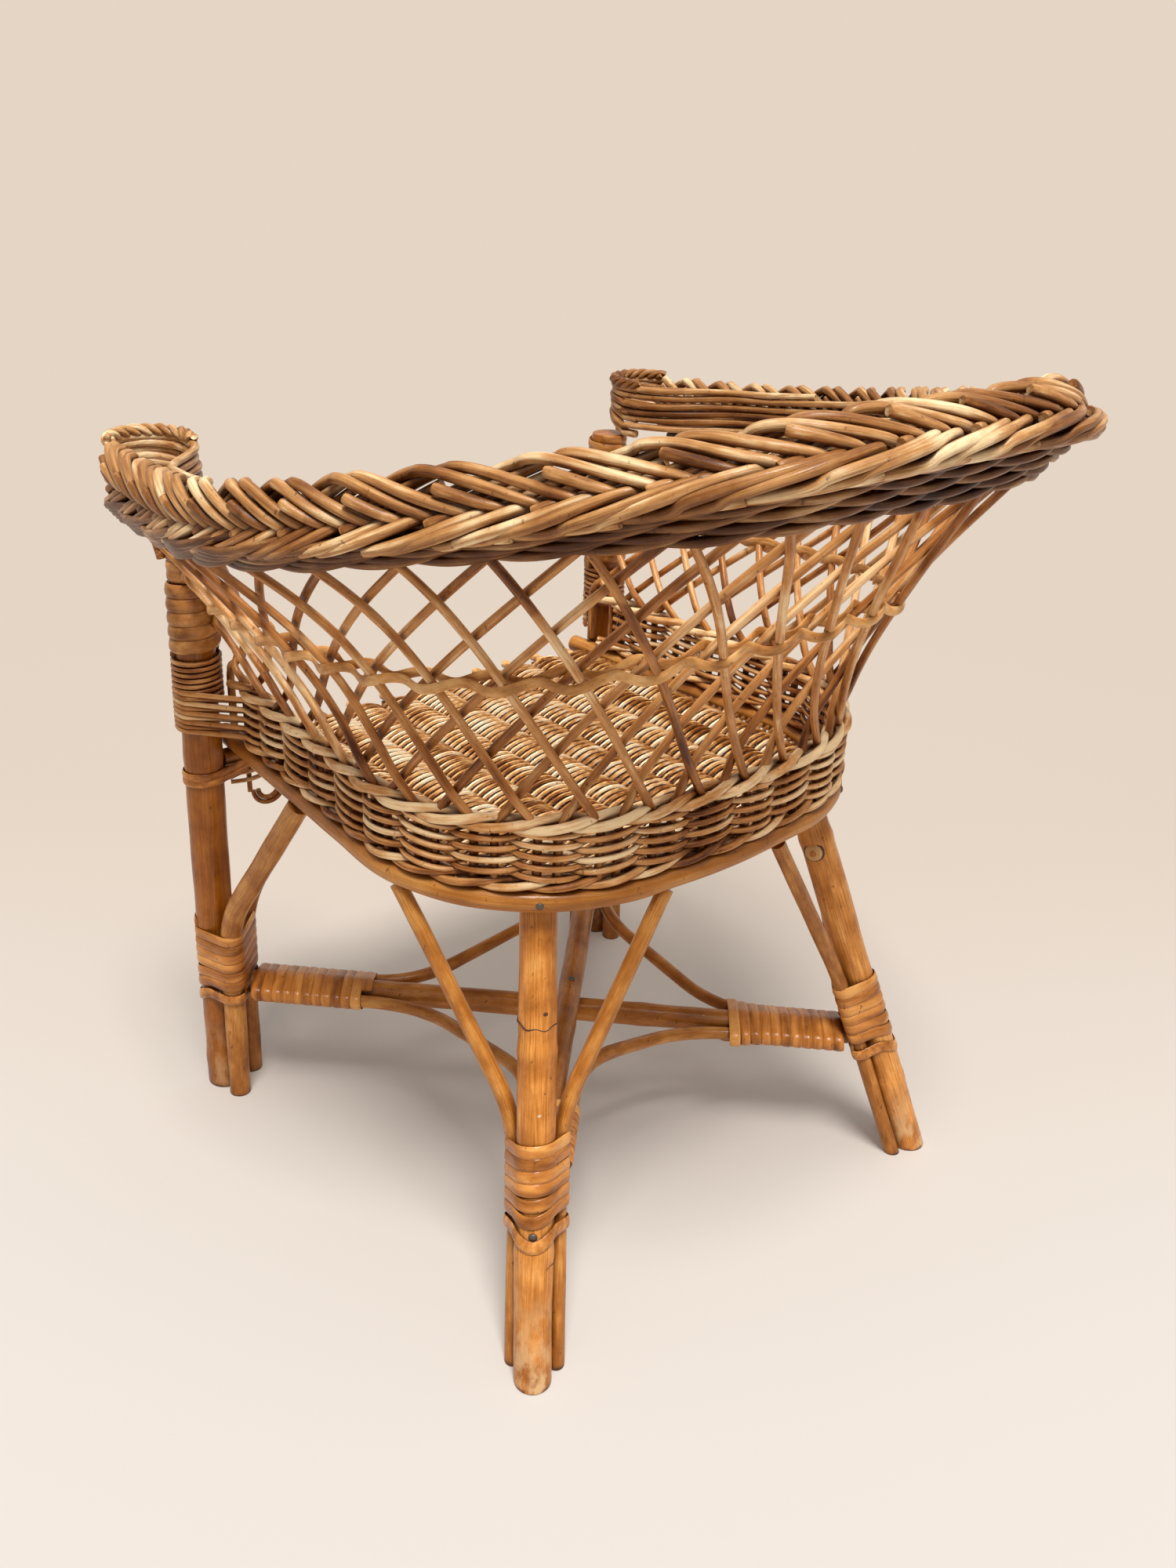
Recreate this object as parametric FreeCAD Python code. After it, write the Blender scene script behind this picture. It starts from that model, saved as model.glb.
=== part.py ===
"""A child's wicker armchair: a woven willow tub on a frame of round rods.

Millimetres, +Z up, front towards -Y, sitter's left towards +X.
The origin is on the floor under the middle of the chair.
"""
import FreeCAD
import Part
import math
import os

V = FreeCAD.Vector

# Fits and how finely the rods are cut
gap = 0.3
brace_sides = 8
rod_sides = 6
plait_sides = 5
thin_rod_sides = 4
search_rounds = 40
search_places = 200

# Front posts
front_line = -216.5
front_post_radius = 12.5
front_foot_half = 175.0
front_top_half = 166.5

# Back legs
back_leg_radius = 11.0
back_foot_half = 165.0
back_foot_depth = 349.0
back_leg_above_hoop = 5.0

# Braces that stand beside each leg and spread out to the seat
front_brace_radius = 7.5
back_brace_radius = 5.0
brace_bend_clear = 4.0
side_brace_depth_front = 100.0
side_brace_depth_back = 215.0
rail_brace_half = 75.0
rail_brace_setback = 6.0
back_brace_half = 45.0

# Crossed stretchers and the bowed rods between them
stretcher_radius = 8.2
lower_stretcher_height = 84.0
bow_radius = 4.5
bow_reach = 30.0
bow_bend_radius = 60.0
bow_steps = 4
bow_front_clear = 90.0
bow_side_clear = 80.0
bow_back_clear = 66.0

# Seat hoop and front rail
seat_height = 260.0
hoop_radius = 6.5
hoop_corner_half = 168.0
hoop_corner_depth = 296.0
hoop_back_depth = 311.0
hoop_corner_radius = 110.0
hoop_back_radius = 300.0
hoop_overrun = 10.0
hoop_sides = 8
hoop_step = 20.0
rail_radius = 6.0

# Woven seat
warp_radius = 4.0
warp_count = 11
warp_edge_clear = 4.76
weft_thickness = 2.4
weft_width = 13.6
weft_spacing = 0.6
weft_least_half = 70.0

# Apron under the front rail
apron_rod_radius = 2.0
apron_drop = 40.0
apron_rows = 3
apron_row_pitch = 6.0
apron_scallop_steps = 4

# Woven band above the hoop
stake_radius = 2.6
stake_pairs = 24
pair_half = 5.5
weaver_radius = 3.2
weaver_rows = 4
wale_radius = 3.0
row_spacing = 0.5
row_part_count = 6
length_joint = 0.6

# Lattice wall
wall_start_depth = 19.0
lattice_rise = 10.0
lattice_shift = 3.6
wall_flare = 1.5
lattice_steps = 5
lattice_top = 0.94
layer_slack = 1.25
outer_row_slack = 1.6
inner_row_slack = 0.75
fitching_radius = 1.8
fitching_level = 0.45
upper_wale_rows = 3
upper_wale_radius = 2.5
lattice_least_run = 0.35
row_turn = 10.0
row_reach = 0.07

# Plaited rim
rim_front_half = 212.0
rim_side_half = 243.0
rim_side_depth = 200.0
rim_back_half = 98.0
rim_back_depth = 430.0
rim_side_radius = 180.0
rim_back_radius = 85.0
arm_height = 446.0
back_rise = 86.0
rise_straight_share = 0.2
arm_turn_radius = 22.0
arm_turn_depth = 8.0
arm_return = 12.0
arm_end_rods = 4
arm_end_steps = 6
plait_half_height = 14.5
plait_half_depth = 9.5
plait_strand_radius = 5.0
plait_chevron = 40.0
plait_steps = 6
plait_strands = 3
plait_end_clear = 4.0
plait_back_lean = 65.0
plait_clear = 0.9

# Flat cane bindings
cane_width = 6.5
cane_thickness = 1.2
cane_spacing = 0.7
leg_binding_start = 86.0
leg_binding_turns = 6
stretcher_binding_start = 5.0
front_stretcher_turns = 9
back_stretcher_turns = 6
post_binding_drop = 94.2
post_binding_turns = 6
turn_sides = 8

# Stays under the arm ends
stay_radius = 3.0
stay_clear = 3.0

# Values that follow from the sizes above
rail_height = seat_height - warp_radius - gap - rail_radius
hoop_height = rail_height + rail_radius + gap + hoop_radius
plait_reach = plait_half_height + plait_strand_radius
post_height = arm_height - plait_reach - gap
post_binding_start = post_height - post_binding_drop
upper_stretcher_height = lower_stretcher_height + 2 * stretcher_radius + gap
band_base = hoop_height + hoop_radius + gap
bottom_wale_height = band_base + wale_radius + gap
first_weaver_height = bottom_wale_height + wale_radius + row_spacing + weaver_radius
weaver_pitch = 2 * weaver_radius + row_spacing
top_wale_height = first_weaver_height + weaver_rows * weaver_pitch - weaver_radius + wale_radius
band_top = top_wale_height + wale_radius
wall_base = band_top + lattice_rise
cane_pitch = cane_width + cane_spacing
stake_flat = stake_radius * math.cos(math.pi / thin_rod_sides)
layer_offset = stake_flat + gap / 2 + layer_slack
outer_skin = layer_offset + stake_flat + gap + outer_row_slack
inner_skin = layer_offset + stake_flat + gap + inner_row_slack
wale_offset = outer_skin + upper_wale_radius


def depth(distance):
    """The Y of a place so far behind the front posts."""
    return front_line + distance


def mirrored(point):
    return V(-point.x, point.y, point.z)


def unit(vector):
    copy = V(vector)
    copy.normalize()
    return copy


# Rods

def regular_profile(radius, sides):
    """Corners of a many-sided round rod's section."""
    turn = 2 * math.pi / sides
    angles = [(k + 0.5) * turn for k in range(sides)]
    return [(radius * math.cos(angle), radius * math.sin(angle)) for angle in angles]


def flat_profile(width, thickness):
    """Corners of a flat strip, with its width across the path's side direction."""
    w = width / 2
    t = thickness / 2
    return [(-w, -t), (w, -t), (w, t), (-w, t)]


def slide(points, along, plane_point, plane_normal):
    """Move points along a direction until they lie in a plane."""
    rate = along.dot(plane_normal)
    return [q + along * ((plane_point - q).dot(plane_normal) / rate) for q in points]


def carried_rings(points, profile, lift, start_normal=None, end_normal=None):
    """Sections carried along straight runs, with mitred corners."""
    runs = [unit(b - a) for a, b in zip(points, points[1:])]
    side = unit(runs[0].cross(lift))
    rise = side.cross(runs[0])
    ring = [points[0] + side * a + rise * b for a, b in profile]
    rings = [slide(ring, runs[0], points[0], start_normal or runs[0])]
    for i in range(1, len(points)):
        last = i == len(points) - 1
        normal = (end_normal or runs[-1]) if last else mitre(points, i)
        rings.append(slide(rings[-1], runs[i - 1], points[i], normal))
    return rings


def flat_face(corners):
    return Part.Face(Part.makePolygon(corners + corners[:1]))


def skinned(rings, halved_sides=()):
    """A solid through rings of corners; sides whose four corners don't lie flat are halved."""
    count = len(rings[0])
    faces = [flat_face(rings[0]), flat_face(rings[-1])]
    for low, high in zip(rings, rings[1:]):
        for j in range(count):
            k = (j + 1) % count
            if j in halved_sides:
                faces.append(flat_face([low[j], low[k], high[k]]))
                faces.append(flat_face([low[j], high[k], high[j]]))
            else:
                faces.append(flat_face([low[j], low[k], high[k], high[j]]))
    solid = Part.Solid(Part.Shell(faces))
    if solid.Volume < 0:
        solid.reverse()
    return solid


def bent_rod(points, profile, lift, start_normal=None, end_normal=None):
    """A solid rod along straight runs."""
    return skinned(carried_rings(points, profile, lift, start_normal, end_normal))


def mitre(points, i):
    """The direction square to the cut where two runs of a rod meet."""
    return unit(unit(points[i] - points[i - 1]) + unit(points[i + 1] - points[i]))


def rod_in_lengths(points, profile, lift, breaks):
    """A long rod laid as separate lengths that meet at some of its corners."""
    stops = [0] + list(breaks) + [len(points) - 1]
    rods = []
    for first, last in zip(stops, stops[1:]):
        run = points[first:last + 1]
        start_normal = None
        end_normal = None
        if first > 0:
            start_normal = mitre(points, first)
            run[0] = run[0] + unit(run[1] - run[0]) * (length_joint / 2)
        if last < len(points) - 1:
            end_normal = mitre(points, last)
            run[-1] = run[-1] - unit(run[-1] - run[-2]) * (length_joint / 2)
        rods.append(bent_rod(run, profile, lift, start_normal, end_normal))
    return rods


def round_rod(start, end, radius):
    """A straight round rod with square ends."""
    return Part.makeCylinder(radius, (end - start).Length, start, end - start)


def standing_rod(foot, top, radius):
    """A leaning round rod whose foot is cut level with the floor."""
    along = unit(top - foot)
    below = foot - along * (2 * radius)
    rod = round_rod(below, top, radius)
    block = Part.makeBox(8 * radius, 8 * radius, 4 * radius)
    block.translate(V(foot.x - 4 * radius, foot.y - 4 * radius, -4 * radius))
    return rod.cut(block)


# Plan outlines made of straight runs and tangent arcs

def rounded_path(corners, radii):
    """Straight and arc pieces, each as (length, function of the distance along it, turn)."""
    pieces = []
    here = corners[0]
    for i in range(1, len(corners) - 1):
        before = unit(corners[i] - corners[i - 1])
        after = unit(corners[i + 1] - corners[i])
        turn = math.acos(max(-1.0, min(1.0, before.dot(after))))
        sense = 1.0 if before.cross(after).z > 0 else -1.0
        reach = radii[i - 1] * math.tan(turn / 2)
        start = corners[i] - before * reach
        pieces.append(straight_piece(here, start))
        pieces.append(arc_piece(start, before, radii[i - 1], turn, sense))
        here = corners[i] + after * reach
    pieces.append(straight_piece(here, corners[-1]))
    return pieces


def straight_piece(start, end):
    along = unit(end - start)
    return ((end - start).Length, lambda d: (start + along * d, along), 0.0)


def arc_piece(start, along, radius, turn, sense):
    left = V(-along.y, along.x, 0)
    centre = start + left * (sense * radius)

    def place(d):
        angle = sense * d / radius
        spoke = start - centre
        c = math.cos(angle)
        s = math.sin(angle)
        point = centre + V(spoke.x * c - spoke.y * s, spoke.x * s + spoke.y * c, 0)
        return (point, V(along.x * c - along.y * s, along.x * s + along.y * c, 0))

    return (radius * turn, place, turn)


def path_length(pieces):
    return sum(length for length, _, _ in pieces)


def path_place(pieces, distance):
    """The point and direction so far along a path."""
    for length, place, _ in pieces[:-1]:
        if distance <= length:
            return place(distance)
        distance -= length
    return pieces[-1][1](distance)


def outward(direction):
    """The level direction away from the tub, for a path that runs from the left arm round to the right."""
    return V(direction.y, -direction.x, 0)


def distance_at_depth(pieces, y):
    """How far along the left half of a path its Y first reaches a value."""
    low = 0.0
    high = path_length(pieces) / 2
    for _ in range(search_rounds):
        middle = (low + high) / 2
        if path_place(pieces, middle)[0].y < y:
            low = middle
        else:
            high = middle
    return low


def distance_at_half(pieces, x):
    """How far along the left half of a path its X last falls to a value."""
    low = path_length(pieces) / 4
    high = path_length(pieces) / 2
    for _ in range(search_rounds):
        middle = (low + high) / 2
        if path_place(pieces, middle)[0].x > x:
            low = middle
        else:
            high = middle
    return low


# Legs and posts

def front_post_axis(z):
    share = z / post_height
    return V(front_foot_half + (front_top_half - front_foot_half) * share, front_line, z)


hoop_beside_post = front_post_axis(hoop_height + hoop_radius).x - front_post_radius - gap - hoop_radius


def hoop_corners():
    spread = (hoop_corner_half - hoop_beside_post) / hoop_corner_depth
    start_half = hoop_beside_post - spread * (hoop_overrun + front_post_radius)
    left = [
        V(start_half, depth(-hoop_overrun), 0),
        V(hoop_corner_half, depth(hoop_corner_depth), 0),
        V(0, depth(hoop_back_depth), 0),
    ]
    return left + [mirrored(left[1]), mirrored(left[0])]


hoop_path = rounded_path(hoop_corners(), [hoop_corner_radius, hoop_back_radius, hoop_corner_radius])
hoop_length = path_length(hoop_path)


def hoop_point(distance, z):
    point, direction = path_place(hoop_path, distance)
    return V(point.x, point.y, z), direction


def seat_hoop():
    """The round rod bent round the seat, from inside one front post to the other."""
    points = [hoop_point(0, hoop_height)[0]]
    for length, place, turn in hoop_path:
        steps = max(1, round(length / hoop_step)) if turn else 1
        for k in range(1, steps + 1):
            point = place(length * k / steps)[0]
            points.append(V(point.x, point.y, hoop_height))
    return bent_rod(points, regular_profile(hoop_radius, hoop_sides), V(0, 0, 1))


def inside_hoop(distance, reach):
    """A point so far in from the hoop's middle line."""
    point, direction = path_place(hoop_path, distance)
    return point - outward(direction) * reach


def inner_half(y, reach):
    """Half the clear width inside the hoop at a Y."""
    low = 0.0
    high = hoop_length / 2
    for _ in range(search_rounds):
        middle = (low + high) / 2
        if inside_hoop(middle, reach).y < y:
            low = middle
        else:
            high = middle
    return inside_hoop(low, reach).x


def inner_back(x, reach):
    """The Y of the clear space's back edge inside the hoop, at a distance from its middle."""
    low = hoop_length / 4
    high = hoop_length / 2
    for _ in range(search_rounds):
        middle = (low + high) / 2
        if inside_hoop(middle, reach).x > x:
            low = middle
        else:
            high = middle
    return inside_hoop(low, reach).y


back_foot = V(back_foot_half, depth(back_foot_depth), 0)


def back_leg_at_hoop():
    """Where the back leg's axis passes the hoop's height, just inside the hoop."""
    left_half = [hoop_point(hoop_length * k / search_places, 0)[0] for k in range(search_places // 2)]
    best = min(left_half, key=lambda p: (p - back_foot).Length)
    inward = unit(best - back_foot)
    lean = math.hypot((best - back_foot).Length + hoop_radius + back_leg_radius, hoop_height) / hoop_height
    chord_dip = hoop_step ** 2 / (8 * hoop_corner_radius)
    seat = (hoop_radius + chord_dip + gap + back_leg_radius) * lean
    return V(best.x + inward.x * seat, best.y + inward.y * seat, hoop_height)


back_hoop_axis = back_leg_at_hoop()


def back_leg_axis(z):
    share = z / hoop_height
    return back_foot + (back_hoop_axis - back_foot) * share


left_legs = {
    "front": (front_post_axis, front_post_radius, front_brace_radius, post_height),
    "back": (back_leg_axis, back_leg_radius, back_brace_radius, hoop_height + back_leg_above_hoop),
}


def leg_direction(axis):
    return unit(axis(seat_height) - axis(0))


def side_direction(axis, towards):
    """The level pull towards another leg, made square to this leg."""
    along = leg_direction(axis)
    pull = towards - axis(0)
    return unit(pull - along * pull.dot(along))


def brace(axis, leg_radius, radius, towards, top):
    """A rod that stands beside a leg and then spreads up to the seat frame."""
    side = side_direction(axis, towards) * (leg_radius + gap + radius)
    foot = axis(0) + side
    along = leg_direction(axis)
    foot = foot - along * (foot.z / along.z)
    wound = leg_binding_turns * cane_pitch + cane_width + brace_bend_clear
    bend = axis(leg_binding_start) + along * wound + side
    level = V(0, 0, 1)
    return bent_rod([foot, bend, top], regular_profile(radius, brace_sides), V(side), level, level)


front_plan = V(front_foot_half, front_line, 0)
side_front_distance = distance_at_depth(hoop_path, depth(side_brace_depth_front))
side_back_distance = distance_at_depth(hoop_path, depth(side_brace_depth_back))
back_brace_distance = distance_at_half(hoop_path, back_brace_half)
under_hoop = hoop_height - hoop_radius - gap
under_rail = rail_height - rail_radius - gap
rail_brace_top = V(rail_brace_half, depth(rail_brace_setback), under_rail)
braces = {
    "front_{}_side_brace": ("front", back_foot, hoop_point(side_front_distance, under_hoop)[0]),
    "front_{}_rail_brace": ("front", mirrored(front_plan), rail_brace_top),
    "back_{}_side_brace": ("back", front_plan, hoop_point(side_back_distance, under_hoop)[0]),
    "back_{}_rear_brace": ("back", mirrored(back_foot), hoop_point(back_brace_distance, under_hoop)[0]),
}


# Stretchers and bows

def bundle_rods(kind):
    """The leg and its two braces in the leg's local frame, each as (x, y, radius)."""
    axis, leg_radius, brace_radius, _ = left_legs[kind]
    along = leg_direction(axis)
    rods = [(0.0, 0.0, leg_radius)]
    for leg_kind, towards, _ in braces.values():
        if leg_kind == kind:
            side = side_direction(axis, towards) * (leg_radius + gap + brace_radius)
            local = FreeCAD.Rotation(V(0, 0, 1), along).inverted().multVec(side)
            rods.append((local.x, local.y, brace_radius))
    return rods


def bundle_reach(kind, level_direction):
    """How far the bound bundle reaches from its leg's axis along a level direction."""
    axis = left_legs[kind][0]
    local = FreeCAD.Rotation(V(0, 0, 1), leg_direction(axis)).inverted().multVec(level_direction)
    reach = []
    for k in range(turn_sides):
        angle = 2 * math.pi * k / turn_sides
        c = math.cos(angle)
        s = math.sin(angle)
        face = max(x * c + y * s + r for x, y, r in bundle_rods(kind)) + gap + cane_thickness
        toward = local.x * c + local.y * s
        if toward > 0:
            reach.append(face / toward)
    lean = abs(local.z) / math.hypot(local.x, local.y)
    return min(reach) + gap + stretcher_radius * lean


def stretcher(z):
    """Ends of a level rod from the left front bundle to the right back one."""
    start = front_post_axis(z)
    end = mirrored(back_leg_axis(z))
    along = unit(end - start)
    start_clear = bundle_reach("front", along)
    end_clear = bundle_reach("back", V(along.x, -along.y, 0))
    return start + along * start_clear, end - along * end_clear


lower_stretcher = stretcher(lower_stretcher_height)
upper_stretcher = tuple(mirrored(p) for p in stretcher(upper_stretcher_height))
bow_beside = stretcher_radius + gap + bow_radius
back_at_stretcher = back_leg_axis(lower_stretcher_height)
crossing_share = front_foot_half / (front_foot_half + back_at_stretcher.x)
crossing = V(0, front_line + (back_at_stretcher.y - front_line) * crossing_share, 0)


def bow_corners(first, second, clear):
    """Ends and corners of a bow: along one stretcher, across to the next, and along that."""
    legs = [V(leg.x, leg.y, 0) for leg in (first, second)]
    leads = [unit(crossing - leg) for leg in legs]
    away = unit(leads[0] + leads[1]) * -1
    ends = []
    corners = []
    for leg, other, lead in zip(legs, reversed(legs), leads):
        across = other - leg
        across = unit(across - lead * across.dot(lead))
        end = leg + lead * bow_reach + across * bow_beside
        ends.append(end)
        corners.append(end + lead * ((clear - (end - crossing).dot(away)) / lead.dot(away)))
    return [ends[0], corners[0], corners[1], ends[1]]


def bow(first, second, clear):
    """A thin rod between two neighbouring legs, bent round outside the crossing."""
    path = rounded_path(bow_corners(first, second, clear), [bow_bend_radius] * 2)
    points = [path_place(path, 0)[0]]
    for length, place, turn in path:
        if turn:
            level = first.z if len(points) == 1 else second.z
            points += [place(length * k / bow_steps)[0] + V(0, 0, level) for k in range(bow_steps + 1)]
    points[0] = points[0] + V(0, 0, first.z)
    points.append(path_place(path, path_length(path))[0] + V(0, 0, second.z))
    return bent_rod(points, regular_profile(bow_radius, rod_sides), V(0, 0, 1))


front_left_joint = front_post_axis(lower_stretcher_height)
front_right_joint = mirrored(front_post_axis(upper_stretcher_height))
back_left_joint = back_leg_axis(upper_stretcher_height)
back_right_joint = mirrored(back_leg_axis(lower_stretcher_height))
bows = {
    "front_bow": (front_left_joint, front_right_joint, bow_front_clear),
    "left_bow": (front_left_joint, back_left_joint, bow_side_clear),
    "right_bow": (front_right_joint, back_right_joint, bow_side_clear),
    "back_bow": (back_left_joint, back_right_joint, bow_back_clear),
}


def bow_spread(joint, distance):
    """How far the bows have spread from a stretcher at a distance from its leg's axis."""
    spread = [bow_beside]
    for first, second, clear in bows.values():
        if joint in (first, second):
            path = rounded_path(bow_corners(first, second, clear), [bow_bend_radius] * 2)
            lead = path[0] if joint == first else path[-1]
            turned = path[1][2] / bow_steps
            past = distance - bow_reach - lead[0]
            if past > 0:
                chord_dip = bow_bend_radius * (1 - math.cos(turned / 2))
                spread.append(bow_beside + past ** 2 / bow_bend_radius + chord_dip)
    return max(spread)


# Cane bindings

def winding_corner(rods, distance_out, angle):
    """Where two neighbouring sides of a winding's outline meet."""
    step = 2 * math.pi / turn_sides
    c1 = math.cos(angle)
    s1 = math.sin(angle)
    c2 = math.cos(angle + step)
    s2 = math.sin(angle + step)
    h1 = max(x * c1 + y * s1 + r for x, y, r in rods) + distance_out
    h2 = max(x * c2 + y * s2 + r for x, y, r in rods) + distance_out
    det = c1 * s2 - c2 * s1
    return V((h1 * s2 - h2 * s1) / det, (c1 * h2 - c2 * h1) / det, 0)


def least_gap(rings):
    """The least distance between points of neighbouring turns."""
    gaps = []
    for low, high in zip(rings, rings[turn_sides:]):
        gaps += [(b - a).Length for a in low for b in high]
    return min(gaps)


def binding(name, rods_at, base, along, turns, start):
    """A flat cane wound in one unbroken run about rods that lie near local Z."""
    rings = []
    for k in range(turns * turn_sides + 1):
        angle = 2 * math.pi * k / turn_sides
        low = V(0, 0, start + cane_pitch * k / turn_sides)
        rods = rods_at(low.z + cane_width)
        inner = winding_corner(rods, gap, angle)
        outer = winding_corner(rods, gap + cane_thickness, angle)
        high = low + V(0, 0, cane_width)
        rings.append([inner + low, outer + low, outer + high, inner + high])
    print(f"{name}: least gap of the winding to itself {least_gap(rings):.2f} mm")
    solid = skinned(rings, range(len(rings[0])))
    solid.Placement = FreeCAD.Placement(base, FreeCAD.Rotation(V(0, 0, 1), along))
    return solid


def leg_binding(kind):
    axis = left_legs[kind][0]
    rods = bundle_rods(kind)
    base = axis(leg_binding_start)
    return binding(f"{kind} leg", lambda z: rods, base, leg_direction(axis), leg_binding_turns, 0)


def stretcher_binding(joint, start, end, turns):
    """A winding about a stretcher and the ends of the two bows that lie beside it."""
    along = end - start
    beside = unit(V(-along.y, along.x, 0))
    local = FreeCAD.Rotation(V(0, 0, 1), along).inverted().multVec(beside)
    clear = (start - joint).Length

    def rods_at(z):
        spread = bow_spread(joint, z + clear)
        bow_rods = [(side * local.x * spread, side * local.y * spread, bow_radius) for side in (-1, 1)]
        return [(0.0, 0.0, stretcher_radius)] + bow_rods

    return binding("stretcher", rods_at, start, along, turns, stretcher_binding_start)


def post_binding():
    rods = [(0.0, 0.0, front_post_radius)]
    base = front_post_axis(post_binding_start)
    return binding("post top", lambda z: rods, base, leg_direction(front_post_axis), post_binding_turns, 0)


# Woven seat

def weave_swing(rod_radius, strand_half, span):
    """How far a strand swings to each side so that it clears the rods it passes."""
    swing = rod_radius + strand_half + gap
    for _ in range(search_rounds):
        swing = (rod_radius + strand_half + gap) * math.hypot(1, 2 * swing / span)
    return swing


warp_edge = hoop_beside_post - hoop_radius - warp_edge_clear - warp_radius
warp_pitch = 2 * warp_edge / (warp_count - 1)
warp_places = [warp_pitch * k - warp_edge for k in range(warp_count)]
leg_through_seat = back_leg_axis(seat_height)
leg_lean = 1 / leg_direction(back_leg_axis).z
leg_top_drift = (back_leg_above_hoop + hoop_radius) * math.sqrt(leg_lean ** 2 - 1)
leg_clear = back_leg_radius * leg_lean + leg_top_drift + gap
apron_line = front_line - rail_radius - gap - apron_rod_radius


def clear_of_leg(offset, reach):
    """Half the chord of the leg's clearance circle at an offset from its middle."""
    return math.sqrt(max((leg_clear + reach) ** 2 - offset ** 2, 0.0))


def seat_warps():
    rods = []
    for x in warp_places:
        start = V(x, apron_line - apron_rod_radius, seat_height)
        end_y = inner_back(abs(x), hoop_radius + warp_radius + gap)
        chord = clear_of_leg(abs(x) - leg_through_seat.x, warp_radius)
        if chord > 0:
            end_y = min(end_y, leg_through_seat.y - chord)
        end = V(x, end_y, seat_height)
        rods.append(bent_rod([start, end], regular_profile(warp_radius, rod_sides), V(0, 0, 1)))
    return rods


def seat_weft():
    strips = []
    swing = weave_swing(warp_radius, weft_thickness / 2, warp_pitch)
    y = front_line + rail_radius + gap + weft_width / 2
    row = 0
    while True:
        chord_dip = hoop_step ** 2 / (8 * hoop_corner_radius)
        half = min(inner_half(y + side * weft_width / 2, hoop_radius + chord_dip + gap) for side in (-1, 1))
        chord = clear_of_leg(max(abs(y - leg_through_seat.y) - weft_width / 2, 0.0), 0.0)
        if chord > 0:
            half = min(half, leg_through_seat.x - chord)
        for x in warp_places:
            if abs(x - half) < warp_radius + gap:
                half = x - warp_radius - gap
        if half < weft_least_half or y > depth(hoop_back_depth) - 2 * hoop_radius - weft_width:
            return strips
        inside = [(k, x) for k, x in enumerate(warp_places) if abs(x) < half - warp_radius]
        points = []
        for k, x in inside:
            side = 1 if (k + row) % 2 else -1
            points.append(V(x, y, seat_height + side * swing))
        slope = 2 * (half + points[0].x) / warp_pitch
        points.insert(0, V(-half, y, seat_height + (points[0].z - seat_height) * (1 - slope)))
        points.append(V(half, y, seat_height + (points[-1].z - seat_height) * (1 - slope)))
        strips.append(bent_rod(points, flat_profile(weft_width, weft_thickness), V(0, 0, 1)))
        y += weft_width + weft_spacing
        row += 1


# Apron

apron_top = seat_height - warp_radius - gap


def apron_stakes():
    rods = []
    for x in warp_places:
        points = [V(x, apron_line, apron_top), V(x, apron_line, apron_top - apron_drop)]
        rods.append(bent_rod(points, regular_profile(apron_rod_radius, rod_sides), V(0, 1, 0)))
    return rods


def apron_weavers():
    rows = []
    swing = weave_swing(apron_rod_radius, apron_rod_radius, warp_pitch)
    top = rail_height - rail_radius - gap - apron_rod_radius - gap
    end = warp_places[-1] + warp_pitch / 2
    for row in range(apron_rows):
        z = top - row * apron_row_pitch
        points = [V(-end, apron_line, z)]
        for k, x in enumerate(warp_places):
            side = 1 if (k + row) % 2 else -1
            points.append(V(x, apron_line + side * swing, z))
        points.append(V(end, apron_line, z))
        rows.append(bent_rod(points, regular_profile(apron_rod_radius, thin_rod_sides), V(0, 0, 1)))
    return rows


def apron_scallops():
    """Loops from the foot of each stake to the next."""
    z = apron_top - apron_drop - gap
    loops = []
    for a, b in zip(warp_places, warp_places[1:]):
        half = (b - a) / 2 - apron_rod_radius - gap
        middle = (a + b) / 2
        points = []
        for k in range(apron_scallop_steps + 1):
            angle = math.pi * k / apron_scallop_steps
            points.append(V(middle - half * math.cos(angle), apron_line, z - half * math.sin(angle)))
        level = V(0, 0, 1)
        section = regular_profile(apron_rod_radius, thin_rod_sides)
        loops.append(bent_rod(points, section, V(0, 1, 0), level, level))
    return loops


# Plaited rim path

def rim_corners():
    left = [
        V(rim_front_half, depth(arm_turn_depth), 0),
        V(rim_side_half, depth(rim_side_depth), 0),
        V(rim_back_half, depth(rim_back_depth), 0),
    ]
    return left + [mirrored(p) for p in reversed(left)]


rim_path = rounded_path(rim_corners(), [rim_side_radius, rim_back_radius, rim_back_radius, rim_side_radius])
rim_length = path_length(rim_path)


def rim_height(y):
    """Height of the plait's middle, rising from the arms to the back."""
    share = (y - depth(arm_turn_depth)) / (rim_back_depth - arm_turn_depth)
    share = max(share, 0.0)
    return arm_height + back_rise * (rise_straight_share * share + (1 - rise_straight_share) * share ** 2)


def arm_end_path():
    """Points round the front of the left arm end, from its inside to the start of the rim."""
    start, direction = path_place(rim_path, 0)
    inside = start - outward(direction) * (2 * arm_turn_radius)
    length, place, _ = arc_piece(inside, direction * -1, arm_turn_radius, math.pi, 1.0)
    points = [inside + direction * arm_return]
    points += [place(length * k / arm_end_steps)[0] for k in range(arm_end_steps)]
    points.append(start - direction * gap)
    return points


def arm_end_border():
    """Rods stacked into a rolled edge round the left arm end."""
    radius = plait_reach / arm_end_rods - gap
    rods = []
    for k in range(arm_end_rods):
        z = arm_height - plait_reach + (radius + gap) * (2 * k + 1)
        points = [V(p.x, p.y, z) for p in arm_end_path()]
        rods.append(bent_rod(points, regular_profile(radius, rod_sides), V(0, 0, 1)))
    return rods


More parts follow.
